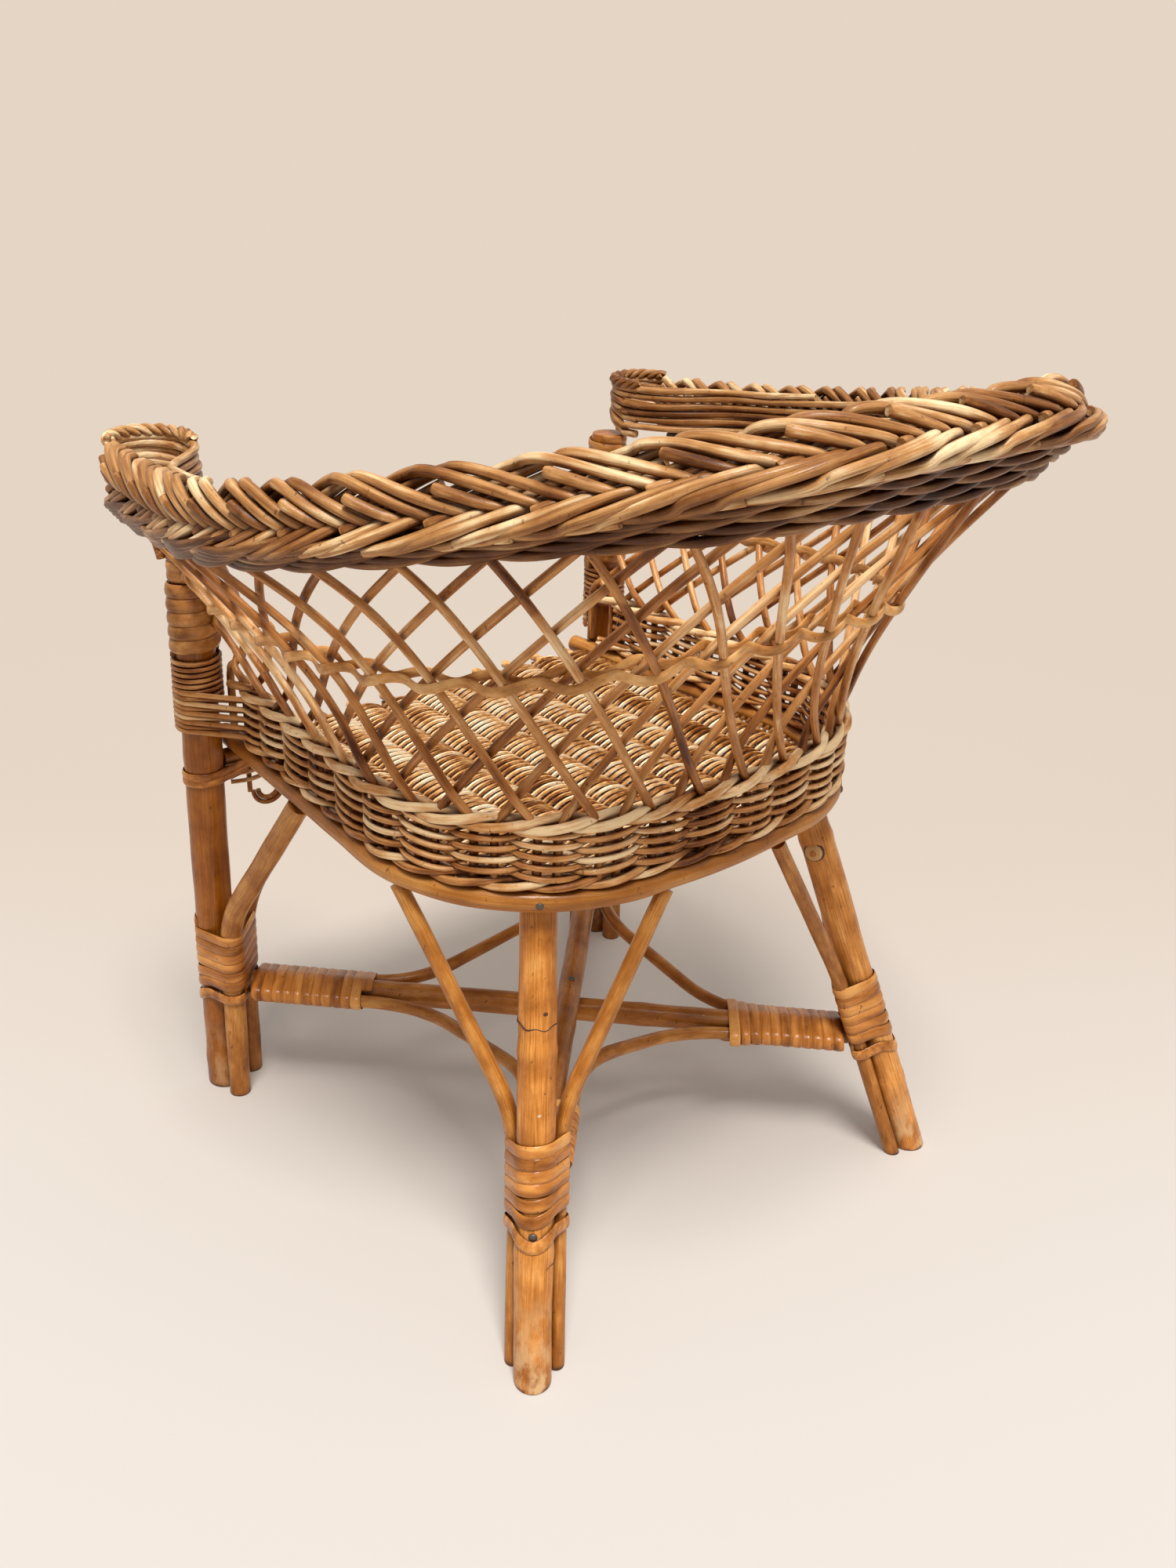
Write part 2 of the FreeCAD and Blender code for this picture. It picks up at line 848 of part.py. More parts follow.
def plait_rods():
    """The strands of the plait, each laid in lengths of one full crossing."""
    length = rim_length - 2 * plait_end_clear
    periods = round(length / (plait_chevron * plait_strands))
    period = length / periods
    breaks = [plait_steps * k for k in range(1, periods)]
    rods = []
    for strand in range(plait_strands):
        points = []
        for k in range(plait_steps * periods + 1):
            points.append(plait_point(plait_end_clear + period * k / plait_steps, period, strand))
        rods += rod_in_lengths(points, regular_profile(plait_strand_radius, plait_sides), V(0, 0, 1), breaks)
    return rods


def plait_axes(distance):
    """The ways over and out of the plait; it rolls over outwards, most at the middle of the back."""
    lean = math.radians(plait_back_lean) * math.sin(math.pi * distance / rim_length) ** 2
    away = outward(path_place(rim_path, distance)[1])
    over = V(0, 0, math.cos(lean)) - away * math.sin(lean)
    face = away * math.cos(lean) + V(0, 0, math.sin(lean))
    return over, face


def plait_point(distance, period, strand):
    point = path_place(rim_path, distance)[0]
    turns = (distance - plait_end_clear) / period + strand / plait_strands
    angle = 2 * math.pi * (turns + 0.5 / plait_steps)
    over, face = plait_axes(distance)
    rise = over * (plait_half_height * math.sin(angle))
    bulge = face * (-plait_half_depth * math.sin(2 * angle))
    return V(point.x, point.y, rim_height(point.y)) + rise + bulge


# Wall between the hoop and the rim

wall_low = distance_at_depth(hoop_path, depth(wall_start_depth))
rim_low = distance_at_depth(rim_path, depth(wall_start_depth))


def wall_middle(share, level):
    """A point on the wall's middle surface; share runs round from the left arm, level runs up."""
    base, _ = path_place(hoop_path, wall_low + (hoop_length - 2 * wall_low) * share)
    rim, rim_along = path_place(rim_path, rim_low + (rim_length - 2 * rim_low) * share)
    under_plait = rim_height(rim.y) - plait_reach - plait_clear - upper_wale_radius
    tilt = math.atan2(wall_flare * (rim - base).Length, under_plait - wall_base)
    top = rim - outward(rim_along) * (wale_offset * math.cos(tilt))
    wall_top = under_plait + wale_offset * math.sin(tilt)
    plan = base + (top - base) * max(level, 0.0) ** wall_flare
    return V(plan.x, plan.y, wall_base + (wall_top - wall_base) * level)


def wall_place(share, level):
    """A point on the wall's middle surface and the direction square out of the wall."""
    nudge = 0.1 / search_places
    low = max(share - nudge, 0.0)
    high = min(share + nudge, 1.0)
    round_wall = wall_middle(high, level) - wall_middle(low, level)
    up_wall = wall_middle(share, level + nudge) - wall_middle(share, level)
    return wall_middle(share, level), unit(round_wall.cross(up_wall))


def band_place(share, z):
    point, direction = path_place(hoop_path, wall_low + (hoop_length - 2 * wall_low) * share)
    return V(point.x, point.y, z), outward(direction)


band_length = hoop_length - 2 * wall_low
pair_share = 1.0 / stake_pairs
pair_half_share = pair_half / band_length
pair_middles = [pair_share * (k + 0.5) for k in range(stake_pairs)]


def lattice_span(foot, shift):
    """The lowest and highest level of a rod that stays between the two front posts."""
    low = 0.0
    high = lattice_top
    if foot < 0:
        low = -foot / shift
    elif foot > 1:
        low = (1 - foot) / shift
    end = foot + shift * lattice_top
    if end < 0:
        high = -foot / shift
    elif end > 1:
        high = (1 - foot) / shift
    return low, high


def lattice_rods(layer):
    """Rods of one layer: +1 is the outer layer, leaning to the front on the left side."""
    rods = []
    shift = -layer * lattice_shift * pair_share
    reach = math.ceil(lattice_shift)
    for k in range(-reach, stake_pairs + reach):
        foot = pair_share * (k + 0.5) - layer * pair_half_share
        low, high = lattice_span(foot, shift)
        if low < 0 or high - low < lattice_least_run:
            continue
        points = []
        if low == 0:
            base = band_place(foot, band_base)[0]
            points = [base, V(base.x, base.y, band_top)]
        steps = max(1, round(lattice_steps * (high - low) / lattice_top))
        for step in range(steps + 1):
            level = low + (high - low) * step / steps
            middle, away = wall_place(foot + shift * level, level)
            points.append(middle + away * (layer * layer_offset))
        lift = wall_place(foot + shift * low, low)[1]
        rods.append(bent_rod(points, regular_profile(stake_radius, thin_rod_sides), lift))
    return rods


def row_end(radius, z):
    """Where a row of the band ends against the inside of the left post."""
    axis = front_post_axis(z)
    return V(axis.x - front_post_radius - gap - radius, axis.y, z)


def weaver_row(radius, z, phase):
    """One row of the band, in and out of the stake pairs, as lengths laid end to end."""
    span = band_length * pair_share - 2 * pair_half
    swing = weave_swing(stake_radius, radius, span)
    points = [row_end(radius, z)]
    joints = []
    for k, middle in enumerate(pair_middles):
        side = 1 if (k + phase) % 2 else -1
        for place in (middle - pair_half_share, middle + pair_half_share):
            point, away = band_place(place, z)
            points.append(point + away * (side * swing))
        joints.append(len(points) - 1)
    points.append(mirrored(points[0]))
    every = stake_pairs // row_part_count
    breaks = [joints[count - 1] for count in range(every, stake_pairs, every)]
    return rod_in_lengths(points, regular_profile(radius, thin_rod_sides), V(0, 0, 1), breaks)


def band_weavers():
    rods = []
    for row in range(weaver_rows):
        rods += weaver_row(weaver_radius, first_weaver_height + row * weaver_pitch, row)
    return rods


def wall_headings(share):
    """The ways the hoop and the rim run at a place round the wall."""
    on_hoop = path_place(hoop_path, wall_low + (hoop_length - 2 * wall_low) * share)[1]
    on_rim = path_place(rim_path, rim_low + (rim_length - 2 * rim_low) * share)[1]
    return on_hoop, on_rim


def row_shares():
    """Places round the wall, closer together where the hoop or the rim turns."""
    shares = [0.0]
    last = wall_headings(0)
    for k in range(1, search_places):
        share = k / search_places
        here = wall_headings(share)
        turned = max(math.degrees(a.getAngle(b)) for a, b in zip(last, here))
        if turned > row_turn or share - shares[-1] > row_reach:
            shares.append(share)
            last = here
    return shares + [1.0]


def wall_row(radius, level, offset):
    """A row of rods that runs round the wall on one face of the lattice."""
    points = []
    for share in row_shares():
        middle, away = wall_place(share, level)
        points.append(middle + away * offset)
    breaks = [round(k * (len(points) - 1) / row_part_count) for k in range(1, row_part_count)]
    return rod_in_lengths(points, regular_profile(radius, thin_rod_sides), V(0, 0, 1), breaks)


def outer_rows(radius, levels):
    rods = []
    for level in levels:
        rods += wall_row(radius, level, outer_skin + radius)
    return rods


def inner_rows(radius, levels):
    rods = []
    for level in levels:
        rods += wall_row(radius, level, -inner_skin - radius)
    return rods


def upper_wale_levels():
    """Levels of the rows under the plait, one rod apart on the lowest part of the wall."""
    drop = (2 * upper_wale_radius + row_spacing) / (arm_height - plait_reach - wall_base)
    return [1.0 - k * drop for k in range(upper_wale_rows)]


def arm_stay():
    """A thin rod from the outside of a front post up to the underside of its arm end."""
    edge = arm_end_path()[arm_end_steps // 2 + 1]
    top = V(edge.x, edge.y, arm_height - plait_reach - gap)
    wound = post_binding_turns * cane_pitch + cane_width
    axis = front_post_axis(post_binding_start + wound + stay_radius + stay_clear)
    away = unit(V(top.x - axis.x, top.y - axis.y, 0))
    foot = axis + away * (front_post_radius + gap + stay_radius)
    return bent_rod([foot, top], regular_profile(stay_radius, rod_sides), V(0, 1, 0), None, V(0, 0, 1))


# Every piece of the chair

def pieces():
    parts = {}
    for name, (axis, radius, _, top) in left_legs.items():
        kind = "post" if name == "front" else "leg"
        rod = standing_rod(axis(0), axis(top), radius)
        parts[f"{name}_left_{kind}"] = rod
        parts[f"{name}_right_{kind}"] = rod.mirror(V(), V(1, 0, 0))
        wrap = leg_binding(name)
        parts[f"{name}_left_binding"] = wrap
        parts[f"{name}_right_binding"] = wrap.mirror(V(), V(1, 0, 0))
    for name, (kind, towards, top) in braces.items():
        axis, leg_radius, radius, _ = left_legs[kind]
        rod = brace(axis, leg_radius, radius, towards, top)
        parts[name.format("left")] = rod
        parts[name.format("right")] = rod.mirror(V(), V(1, 0, 0))
    parts["lower_stretcher"] = round_rod(*lower_stretcher, stretcher_radius)
    parts["upper_stretcher"] = round_rod(*upper_stretcher, stretcher_radius)
    ends = {
        "front_left": (front_left_joint, *lower_stretcher, front_stretcher_turns),
        "front_right": (front_right_joint, *upper_stretcher, front_stretcher_turns),
        "back_left": (back_left_joint, *reversed(upper_stretcher), back_stretcher_turns),
        "back_right": (back_right_joint, *reversed(lower_stretcher), back_stretcher_turns),
    }
    for name, end in ends.items():
        parts[f"{name}_stretcher_binding"] = stretcher_binding(*end)
    for name, (first, second, clear) in bows.items():
        parts[name] = bow(first, second, clear)
    parts["seat_hoop"] = seat_hoop()
    rail_half = front_post_axis(rail_height).x - front_post_radius - gap
    parts["front_seat_rail"] = round_rod(
        V(-rail_half, front_line, rail_height), V(rail_half, front_line, rail_height), rail_radius
    )
    parts["seat_warps"] = Part.makeCompound(seat_warps())
    parts["seat_weft"] = Part.makeCompound(seat_weft())
    parts["apron_stakes"] = Part.makeCompound(apron_stakes())
    parts["apron_weavers"] = Part.makeCompound(apron_weavers())
    parts["apron_scallops"] = Part.makeCompound(apron_scallops())
    parts["band_bottom_wale"] = Part.makeCompound(weaver_row(wale_radius, bottom_wale_height, 1))
    parts["band_weavers"] = Part.makeCompound(band_weavers())
    parts["band_top_wale"] = Part.makeCompound(weaver_row(wale_radius, top_wale_height, weaver_rows))
    parts["outer_lattice_rods"] = Part.makeCompound(lattice_rods(1))
    parts["inner_lattice_rods"] = Part.makeCompound(lattice_rods(-1))
    parts["outer_fitching"] = Part.makeCompound(outer_rows(fitching_radius, [fitching_level]))
    parts["inner_fitching"] = Part.makeCompound(inner_rows(fitching_radius, [fitching_level]))
    levels = upper_wale_levels()
    parts["outer_upper_wale"] = Part.makeCompound(outer_rows(upper_wale_radius, levels))
    parts["inner_upper_wale"] = Part.makeCompound(inner_rows(upper_wale_radius, levels[1:]))
    parts["rim_plait"] = Part.makeCompound(plait_rods())
    border = Part.makeCompound(arm_end_border())
    parts["left_arm_end_border"] = border
    parts["right_arm_end_border"] = border.mirror(V(), V(1, 0, 0))
    wrap = post_binding()
    parts["left_post_top_binding"] = wrap
    parts["right_post_top_binding"] = wrap.mirror(V(), V(1, 0, 0))
    stay = arm_stay()
    parts["left_arm_stay"] = stay
    parts["right_arm_stay"] = stay.mirror(V(), V(1, 0, 0))
    return parts


os.makedirs("parts", exist_ok=True)
for node, shape in pieces().items():
    shape.exportStep(f"parts/{node}.step")
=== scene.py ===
"""Dresses the child's wicker armchair: every rod, weaver, plait and winding as its own form."""
import bpy
import random
from math import asin, atan2, ceil, copysign, cos, exp, hypot, pi, radians, sin, sqrt, tan
from mathutils import Matrix, Vector
from mathutils.noise import noise


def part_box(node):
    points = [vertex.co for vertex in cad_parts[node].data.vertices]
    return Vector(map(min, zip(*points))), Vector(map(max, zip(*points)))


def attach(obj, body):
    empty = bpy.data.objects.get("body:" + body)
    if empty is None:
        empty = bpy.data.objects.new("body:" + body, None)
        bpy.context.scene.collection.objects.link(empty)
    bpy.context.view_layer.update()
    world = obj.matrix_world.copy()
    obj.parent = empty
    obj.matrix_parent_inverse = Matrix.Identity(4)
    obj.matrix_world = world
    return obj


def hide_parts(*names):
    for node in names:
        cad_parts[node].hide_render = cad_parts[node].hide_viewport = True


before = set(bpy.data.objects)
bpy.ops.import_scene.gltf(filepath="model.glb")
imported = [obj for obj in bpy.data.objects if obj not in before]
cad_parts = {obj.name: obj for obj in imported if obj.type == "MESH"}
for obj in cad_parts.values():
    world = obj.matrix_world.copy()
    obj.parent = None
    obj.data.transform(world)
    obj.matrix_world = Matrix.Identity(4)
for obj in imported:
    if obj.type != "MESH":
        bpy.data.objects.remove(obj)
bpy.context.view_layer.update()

MM = 0.001
UP = Vector((0, 0, 1))
both_sides = ((1, "left"), (-1, "right"))

# Sizes of the chair in millimetres, the same as the frame's
gap = 0.3
front_line = -216.5
front_post_radius = 12.5
front_foot_half = 175.0
front_top_half = 166.5
back_leg_radius = 11.0
back_foot_half = 165.0
back_foot_depth = 349.0
back_leg_above_hoop = 5.0
back_leg_clear = 0.5
back_lean_allowance = 1.06
front_brace_radius = 7.5
back_brace_radius = 5.0
side_brace_depth_front = 100.0
side_brace_depth_back = 215.0
rail_brace_half = 75.0
rail_brace_setback = 6.0
back_brace_half = 45.0
brace_corner = 26
stretcher_radius = 8.2
stretcher_clear = 2.0
lower_stretcher_height = 84.0
bow_radius = 4.5
bow_reach = 30.0
bow_corner = 34
bow_front_clear = 90.0
bow_side_clear = 80.0
bow_back_clear = 66.0
seat_height = 260.0
hoop_radius = 6.5
hoop_corner_half = 168.0
hoop_corner_depth = 296.0
hoop_back_depth = 311.0
hoop_corner_radius = 110.0
hoop_back_radius = 300.0
hoop_overrun = 10.0
rail_radius = 6.0
warp_radius = 4.0
warp_pitch = 27.0
warp_count = 11
apron_rod_radius = 2.0
apron_drop = 40.0
band_height = 40.0
stake_radius = 2.6
stake_pairs = 24
pair_half = 5.5
wall_start_depth = 19.0
lattice_rise = 10.0
lattice_shift = 3.6
layer_offset = 2.9
row_offset = 7.0
wall_flare = 1.5
fitching_level = 0.45
rim_front_half = 212.0
rim_side_half = 243.0
rim_side_depth = 200.0
rim_back_half = 98.0
rim_back_depth = 430.0
rim_side_radius = 180.0
rim_back_radius = 85.0
arm_height = 446.0
back_rise = 86.0
rise_straight_share = 0.2
arm_turn_radius = 22.0
arm_turn_depth = 8.0
arm_return = 12.0
plait_reach = 19.5
wale_below_plait = 3.4
cane_width = 6.5
leg_binding_start = 86.0
leg_binding_turns = 6
leg_binding_pitch = 7.2
bend_above_binding = 4.0
post_binding_start = 324.0

# Values that follow from them
rail_height = seat_height - warp_radius - gap - rail_radius
hoop_height = rail_height + rail_radius + gap + hoop_radius
post_height = arm_height - plait_reach - gap
upper_stretcher_height = lower_stretcher_height + 2 * stretcher_radius + gap
band_base = hoop_height + hoop_radius + gap
band_top = band_base + band_height
wall_base = band_top + lattice_rise
bow_beside = stretcher_radius + gap + bow_radius
leg_binding_height = leg_binding_turns * leg_binding_pitch + cane_width


# Points, and plan outlines made of straight runs and tangent arcs

def depth(distance):
    return front_line + distance


def mirrored(p):
    return Vector((-p.x, p.y, p.z))


def sided(points, side):
    """Points as they are on the left side, and mirrored on the right."""
    return [Vector((p.x * side, p.y, p.z)) for p in points]


def evenly(start, end, count):
    return [start.lerp(end, k / count) for k in range(count + 1)]


def straight_piece(start, end):
    along = (end - start).normalized()
    return ((end - start).length, lambda d: (start + along * d, along))


def arc_piece(start, along, radius, turn, sense):
    centre = start + Vector((-along.y, along.x, 0)) * (sense * radius)
    spoke = start - centre

    def place(d):
        spin = Matrix.Rotation(sense * d / radius, 3, "Z")
        return centre + spin @ spoke, spin @ along

    return (radius * turn, place)


def rounded_path(corners, radii):
    pieces = []
    here = corners[0]
    for before_corner, corner, after_corner, radius in zip(corners, corners[1:], corners[2:], radii):
        before = (corner - before_corner).normalized()
        after = (after_corner - corner).normalized()
        turn = before.angle(after)
        sense = 1.0 if before.cross(after).z > 0 else -1.0
        reach = radius * tan(turn / 2)
        start = corner - before * reach
        pieces.append(straight_piece(here, start))
        pieces.append(arc_piece(start, before, radius, turn, sense))
        here = corner + after * reach
    pieces.append(straight_piece(here, corners[-1]))
    return pieces


def path_length(pieces):
    return sum(length for length, _ in pieces)


def path_place(pieces, distance):
    for length, place in pieces[:-1]:
        if distance <= length:
            return place(distance)
        distance -= length
    return pieces[-1][1](distance)


def outward(direction):
    return Vector((direction.y, -direction.x, 0))


def halved_search(low, high, is_low):
    """The place where a test stops being true."""
    halvings = 40
    for _ in range(halvings):
        middle = (low + high) / 2
        if is_low(middle):
            low = middle
        else:
            high = middle
    return low


def smooth_line(points, step):
    """Points of a smooth curve through a few corners, about a step apart."""
    ends = [points[0] * 2 - points[1]] + list(points) + [points[-1] * 2 - points[-2]]
    line = []
    for a, b, c, d in zip(ends, ends[1:], ends[2:], ends[3:]):
        count = max(2, round((c - b).length / step))
        for k in range(count):
            t = k / count
            line.append(
                b + (c - a) * (t / 2)
                + (a * 2 - b * 5 + c * 4 - d) * (t * t / 2)
                + (b * 3 - a - c * 3 + d) * (t ** 3 / 2)
            )
    line.append(points[-1].copy())
    return line


def rounded_line(points, radius, step=4):
    """Straight runs in space joined by rounded corners."""
    bend_steps = 8
    most_of_run = 0.45
    line = [points[0]]
    for before, corner, after in zip(points, points[1:], points[2:]):
        reach = min(radius, (corner - before).length * most_of_run, (after - corner).length * most_of_run)
        start = corner + (before - corner).normalized() * reach
        end = corner + (after - corner).normalized() * reach
        for k in range(bend_steps + 1):
            t = k / bend_steps
            line.append(start * (1 - t) ** 2 + corner * (2 * t * (1 - t)) + end * t ** 2)
    line.append(points[-1])
    full = [line[0]]
    for a, b in zip(line, line[1:]):
        full += evenly(a, b, max(1, round((b - a).length / step)))[1:]
    return full


def eased(share):
    """A share from 0 to 1 with a soft start and end."""
    share = min(max(share, 0.0), 1.0)
    return share ** 2 * (3 - 2 * share)


def fuller(wave, power):
    """A wave with broader tops."""
    return copysign(abs(wave) ** power, wave)


# Places on the chair

def front_post_axis(z):
    share = z / post_height
    return Vector((front_foot_half + (front_top_half - front_foot_half) * share, front_line, z))


def hoop_corners():
    beside_post = front_post_axis(hoop_height + hoop_radius).x - front_post_radius - gap - hoop_radius
    spread = (hoop_corner_half - beside_post) / hoop_corner_depth
    start_half = beside_post - spread * (hoop_overrun + front_post_radius)
    left = [
        Vector((start_half, depth(-hoop_overrun), 0)),
        Vector((hoop_corner_half, depth(hoop_corner_depth), 0)),
        Vector((0, depth(hoop_back_depth), 0)),
    ]
    return left + [mirrored(left[1]), mirrored(left[0])]


hoop_path = rounded_path(hoop_corners(), [hoop_corner_radius, hoop_back_radius, hoop_corner_radius])
hoop_length = path_length(hoop_path)


def hoop_point(distance, z):
    point = path_place(hoop_path, distance)[0]
    return Vector((point.x, point.y, z))


def hoop_at_depth(distance):
    return halved_search(0, hoop_length / 2, lambda d: hoop_point(d, 0).y < depth(distance))


def inside_hoop(distance, reach):
    point, direction = path_place(hoop_path, distance)
    return point - outward(direction) * reach


def inner_half(y, reach):
    """Half the seat's width at a depth, inside the hoop."""
    place = halved_search(0, hoop_length / 2, lambda d: inside_hoop(d, reach).y < y)
    return inside_hoop(place, reach).x


def inner_back(x, reach):
    """The seat's back edge at a distance from its middle, inside the hoop."""
    place = halved_search(hoop_length / 4, hoop_length / 2, lambda d: inside_hoop(d, reach).x > x)
    return inside_hoop(place, reach).y


hoop_tries = 200
back_foot = Vector((back_foot_half, depth(back_foot_depth), 0))
nearest_hoop = min(
    (hoop_point(hoop_length * k / hoop_tries, 0) for k in range(hoop_tries // 2)),
    key=lambda p: (p - back_foot).length,
)
inward_lean = (nearest_hoop - back_foot).normalized()
leg_to_hoop = (hoop_radius + gap + back_leg_radius) * back_lean_allowance + back_leg_clear
back_top = nearest_hoop + inward_lean * leg_to_hoop
back_top.z = hoop_height


def back_leg_axis(z):
    return back_foot.lerp(back_top, z / hoop_height)


def leg_direction(axis):
    return (axis(seat_height) - axis(0)).normalized()


def rim_corners():
    left = [
        Vector((rim_front_half, depth(arm_turn_depth), 0)),
        Vector((rim_side_half, depth(rim_side_depth), 0)),
        Vector((rim_back_half, depth(rim_back_depth), 0)),
    ]
    return left + [mirrored(p) for p in reversed(left)]


rim_path = rounded_path(rim_corners(), [rim_side_radius, rim_back_radius, rim_back_radius, rim_side_radius])
rim_length = path_length(rim_path)


def rim_height(y):
    share = max((y - depth(arm_turn_depth)) / (rim_back_depth - arm_turn_depth), 0.0)
    return arm_height + back_rise * (rise_straight_share * share + (1 - rise_straight_share) * share ** 2)


wall_low = hoop_at_depth(wall_start_depth)
rim_low = halved_search(0, rim_length / 2, lambda d: path_place(rim_path, d)[0].y < depth(wall_start_depth))
band_length = hoop_length - 2 * wall_low


def wall_middle(share, level):
    base = path_place(hoop_path, wall_low + band_length * share)[0]
    rim, rim_along = path_place(rim_path, rim_low + (rim_length - 2 * rim_low) * share)
    under_plait = rim_height(rim.y) - plait_reach - wale_below_plait
    tilt = atan2(wall_flare * (rim - base).length, under_plait - wall_base)
    top = rim - outward(rim_along) * (row_offset * cos(tilt))
    wall_top = under_plait + row_offset * sin(tilt)
    plan = base.lerp(top, max(level, 0.0) ** wall_flare)
    return Vector((plan.x, plan.y, wall_base + (wall_top - wall_base) * level))


def wall_place(share, level):
    """A place in the wall, and the way out there."""
    nudge = 0.0005
    low = max(share - nudge, 0.0)
    high = min(share + nudge, 1.0)
    round_wall = wall_middle(high, level) - wall_middle(low, level)
    up_wall = wall_middle(share, level + nudge) - wall_middle(share, level)
    return wall_middle(share, level), round_wall.cross(up_wall).normalized()


def band_place(share, z):
    point, direction = path_place(hoop_path, wall_low + band_length * share)
    return Vector((point.x, point.y, z)), outward(direction)


# Natural unevenness

noise_starts = ((9.32, -1.53, -7.95), (0.0, 0.0, 0.0), (6.33, 11.24, -3.42))
swell_scale = 0.03
knot_sharpness = 90


def wander(points, amount, scale, seed):
    """Moves points a little off their line, as grown rods are never quite straight."""
    away = Vector((seed * 7.31, seed * 3.17, seed * 1.93))
    starts = [away + Vector(start) for start in noise_starts]
    return [p + Vector([noise(p * scale + start) for start in starts]) * amount for p in points]


def grown_radii(points, radius, seed, taper=0.0, unevenness=0.03, knots=()):
    """Radii along a rod that tapers, swells a little and has knots at some of its places."""
    count = len(points) - 1
    away = Vector((seed * 5.7, seed * 2.3, seed * 9.1))
    radii = []
    for k, p in enumerate(points):
        share = k / count
        swell = 1 + unevenness * noise(p * swell_scale + away)
        for place, height in knots:
            swell += height * exp(-((share - place) * knot_sharpness) ** 2 / 2)
        radii.append(radius * (1 - taper * share) * swell)
    return radii


def grown_rod(line, radius, seed, sway, scale, taper=0.0, unevenness=0.03, knots=(), apart=0):
    """A strand with both kinds of unevenness; apart is how far their seeds differ."""
    return wander(line, sway, scale, seed), grown_radii(line, radius, seed + apart, taper, unevenness, knots)


# Making pieces

def select_none():
    bpy.ops.object.select_all(action="DESELECT")


def only(piece):
    select_none()
    piece.select_set(True)
    bpy.context.view_layer.objects.active = piece


def reworked(piece, work):
    """Does some work on a whole mesh, and points every face outwards."""
    only(piece)
    bpy.ops.object.mode_set(mode="EDIT")
    bpy.ops.mesh.select_all(action="SELECT")
    work()
    bpy.ops.mesh.select_all(action="SELECT")
    bpy.ops.mesh.normals_make_consistent(inside=False)
    bpy.ops.object.mode_set(mode="OBJECT")


def weld(piece):
    """Joins the caps to the rods they close."""
    reworked(piece, lambda: bpy.ops.mesh.remove_doubles(threshold=0.000001))
    bpy.ops.object.shade_smooth_by_angle(angle=radians(50))


def cut_at_floor(piece):
    reworked(piece, lambda: bpy.ops.mesh.bisect(
        plane_co=(0, 0, 0), plane_no=(0, 0, 1), use_fill=True, clear_inner=True))


def new_curve(name):
    select_none()
    bpy.ops.curve.primitive_nurbs_path_add(location=(0, 0, 0))
    piece = bpy.context.object
    piece.name = name
    piece.data.name = name
    piece.data.splines.clear()
    piece.data.use_fill_caps = True
    return piece


def made_mesh(curve, strands):
    """Lays strands of (points, radii) on a curve, and makes a mesh of it that keeps a tone for each rod."""
    for points, radii in strands:
        spline = curve.data.splines.new("POLY")
        spline.points.add(len(points) - 1)
        for point, place, radius in zip(spline.points, points, radii):
            point.co = (*(place * MM), 1)
            point.radius = radius
    only(curve)
    bpy.ops.object.convert(target="MESH")
    piece = bpy.context.object
    weld(piece)
    draws = random.Random(piece.name)
    around = len(piece.data.vertices) // sum(len(points) for points, _ in strands)
    rod_tones = []
    for points, _ in strands:
        rod_tones += [draws.random()] * (len(points) * around)
    piece.data.attributes.new("rod_tone", "FLOAT", "POINT").data.foreach_set("value", rod_tones)
    return piece


def rods(name, strands, sides):
    """Round rods along lines; each strand is (points, radii) in millimetres."""
    curve = new_curve(name)
    curve.data.bevel_depth = MM
    curve.data.bevel_resolution = (sides - 4) // 2
    return made_mesh(curve, strands)


def strips(name, lines, width, thickness):
    """Flat split canes along lines that climb about the Z axis."""
    select_none()
    bpy.ops.curve.primitive_bezier_circle_add(location=(0, 0, 0))
    section = bpy.context.object
    section.data.resolution_u = 3
    for point in section.data.splines[0].bezier_points:
        point.handle_left_type = "FREE"
        point.handle_right_type = "FREE"
        for end in ("co", "handle_left", "handle_right"):
            place = getattr(point, end)
            setattr(point, end, (place.x * thickness / 2 * MM, place.y * width / 2 * MM, 0))
    curve = new_curve(name)
    curve.data.twist_mode = "Z_UP"
    curve.data.bevel_mode = "OBJECT"
    curve.data.bevel_object = section
    piece = made_mesh(curve, [(points, [1.0] * len(points)) for points in lines])
    bpy.data.objects.remove(section)
    only(piece)
    return piece


def settle(piece, matrix):
    """Puts a piece that was made upright at the origin into its place."""
    only(piece)
    piece.matrix_world = matrix
    bpy.ops.object.transform_apply(location=True, rotation=True, scale=True)


def finish_piece(piece, finish, slot, *nodes):
    piece.data.materials.clear()
    piece.data.materials.append(finish)
    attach(piece, "root")
    if nodes:
        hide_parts(*nodes)
    return piece


def dress(name, strands, sides, finish, slot, *nodes):
    """Rods made and finished in one go."""
    return finish_piece(rods(name, strands, sides), finish, slot, *nodes)


# Shader nodes

def put(tree, socket, value):
    """Links a socket to the output of another node, or gives it a plain value."""
    if isinstance(value, bpy.types.NodeSocket):
        tree.links.new(value, socket)
    else:
        socket.default_value = value


def shader(tree, kind, **inputs):
    """A node with some of its inputs; i0 is its first input, i1 the second."""
    node = tree.nodes.new(kind)
    for name, value in inputs.items():
        numbered = name[0] == "i" and name[1:].isdigit()
        put(tree, node.inputs[int(name[1:]) if numbered else name.replace("_", " ")], value)
    return node


def combined(tree, operation, *values):
    node = tree.nodes.new("ShaderNodeMath")
    node.operation = operation
    for socket, value in zip(node.inputs, values):
        put(tree, socket, value)
    return node.outputs[0]


def weighted(tree, total, *terms):
    """A plain number plus sockets times their weights."""
    for socket, weight in terms:
        total = combined(tree, "MULTIPLY_ADD", socket, weight, total)
    return total


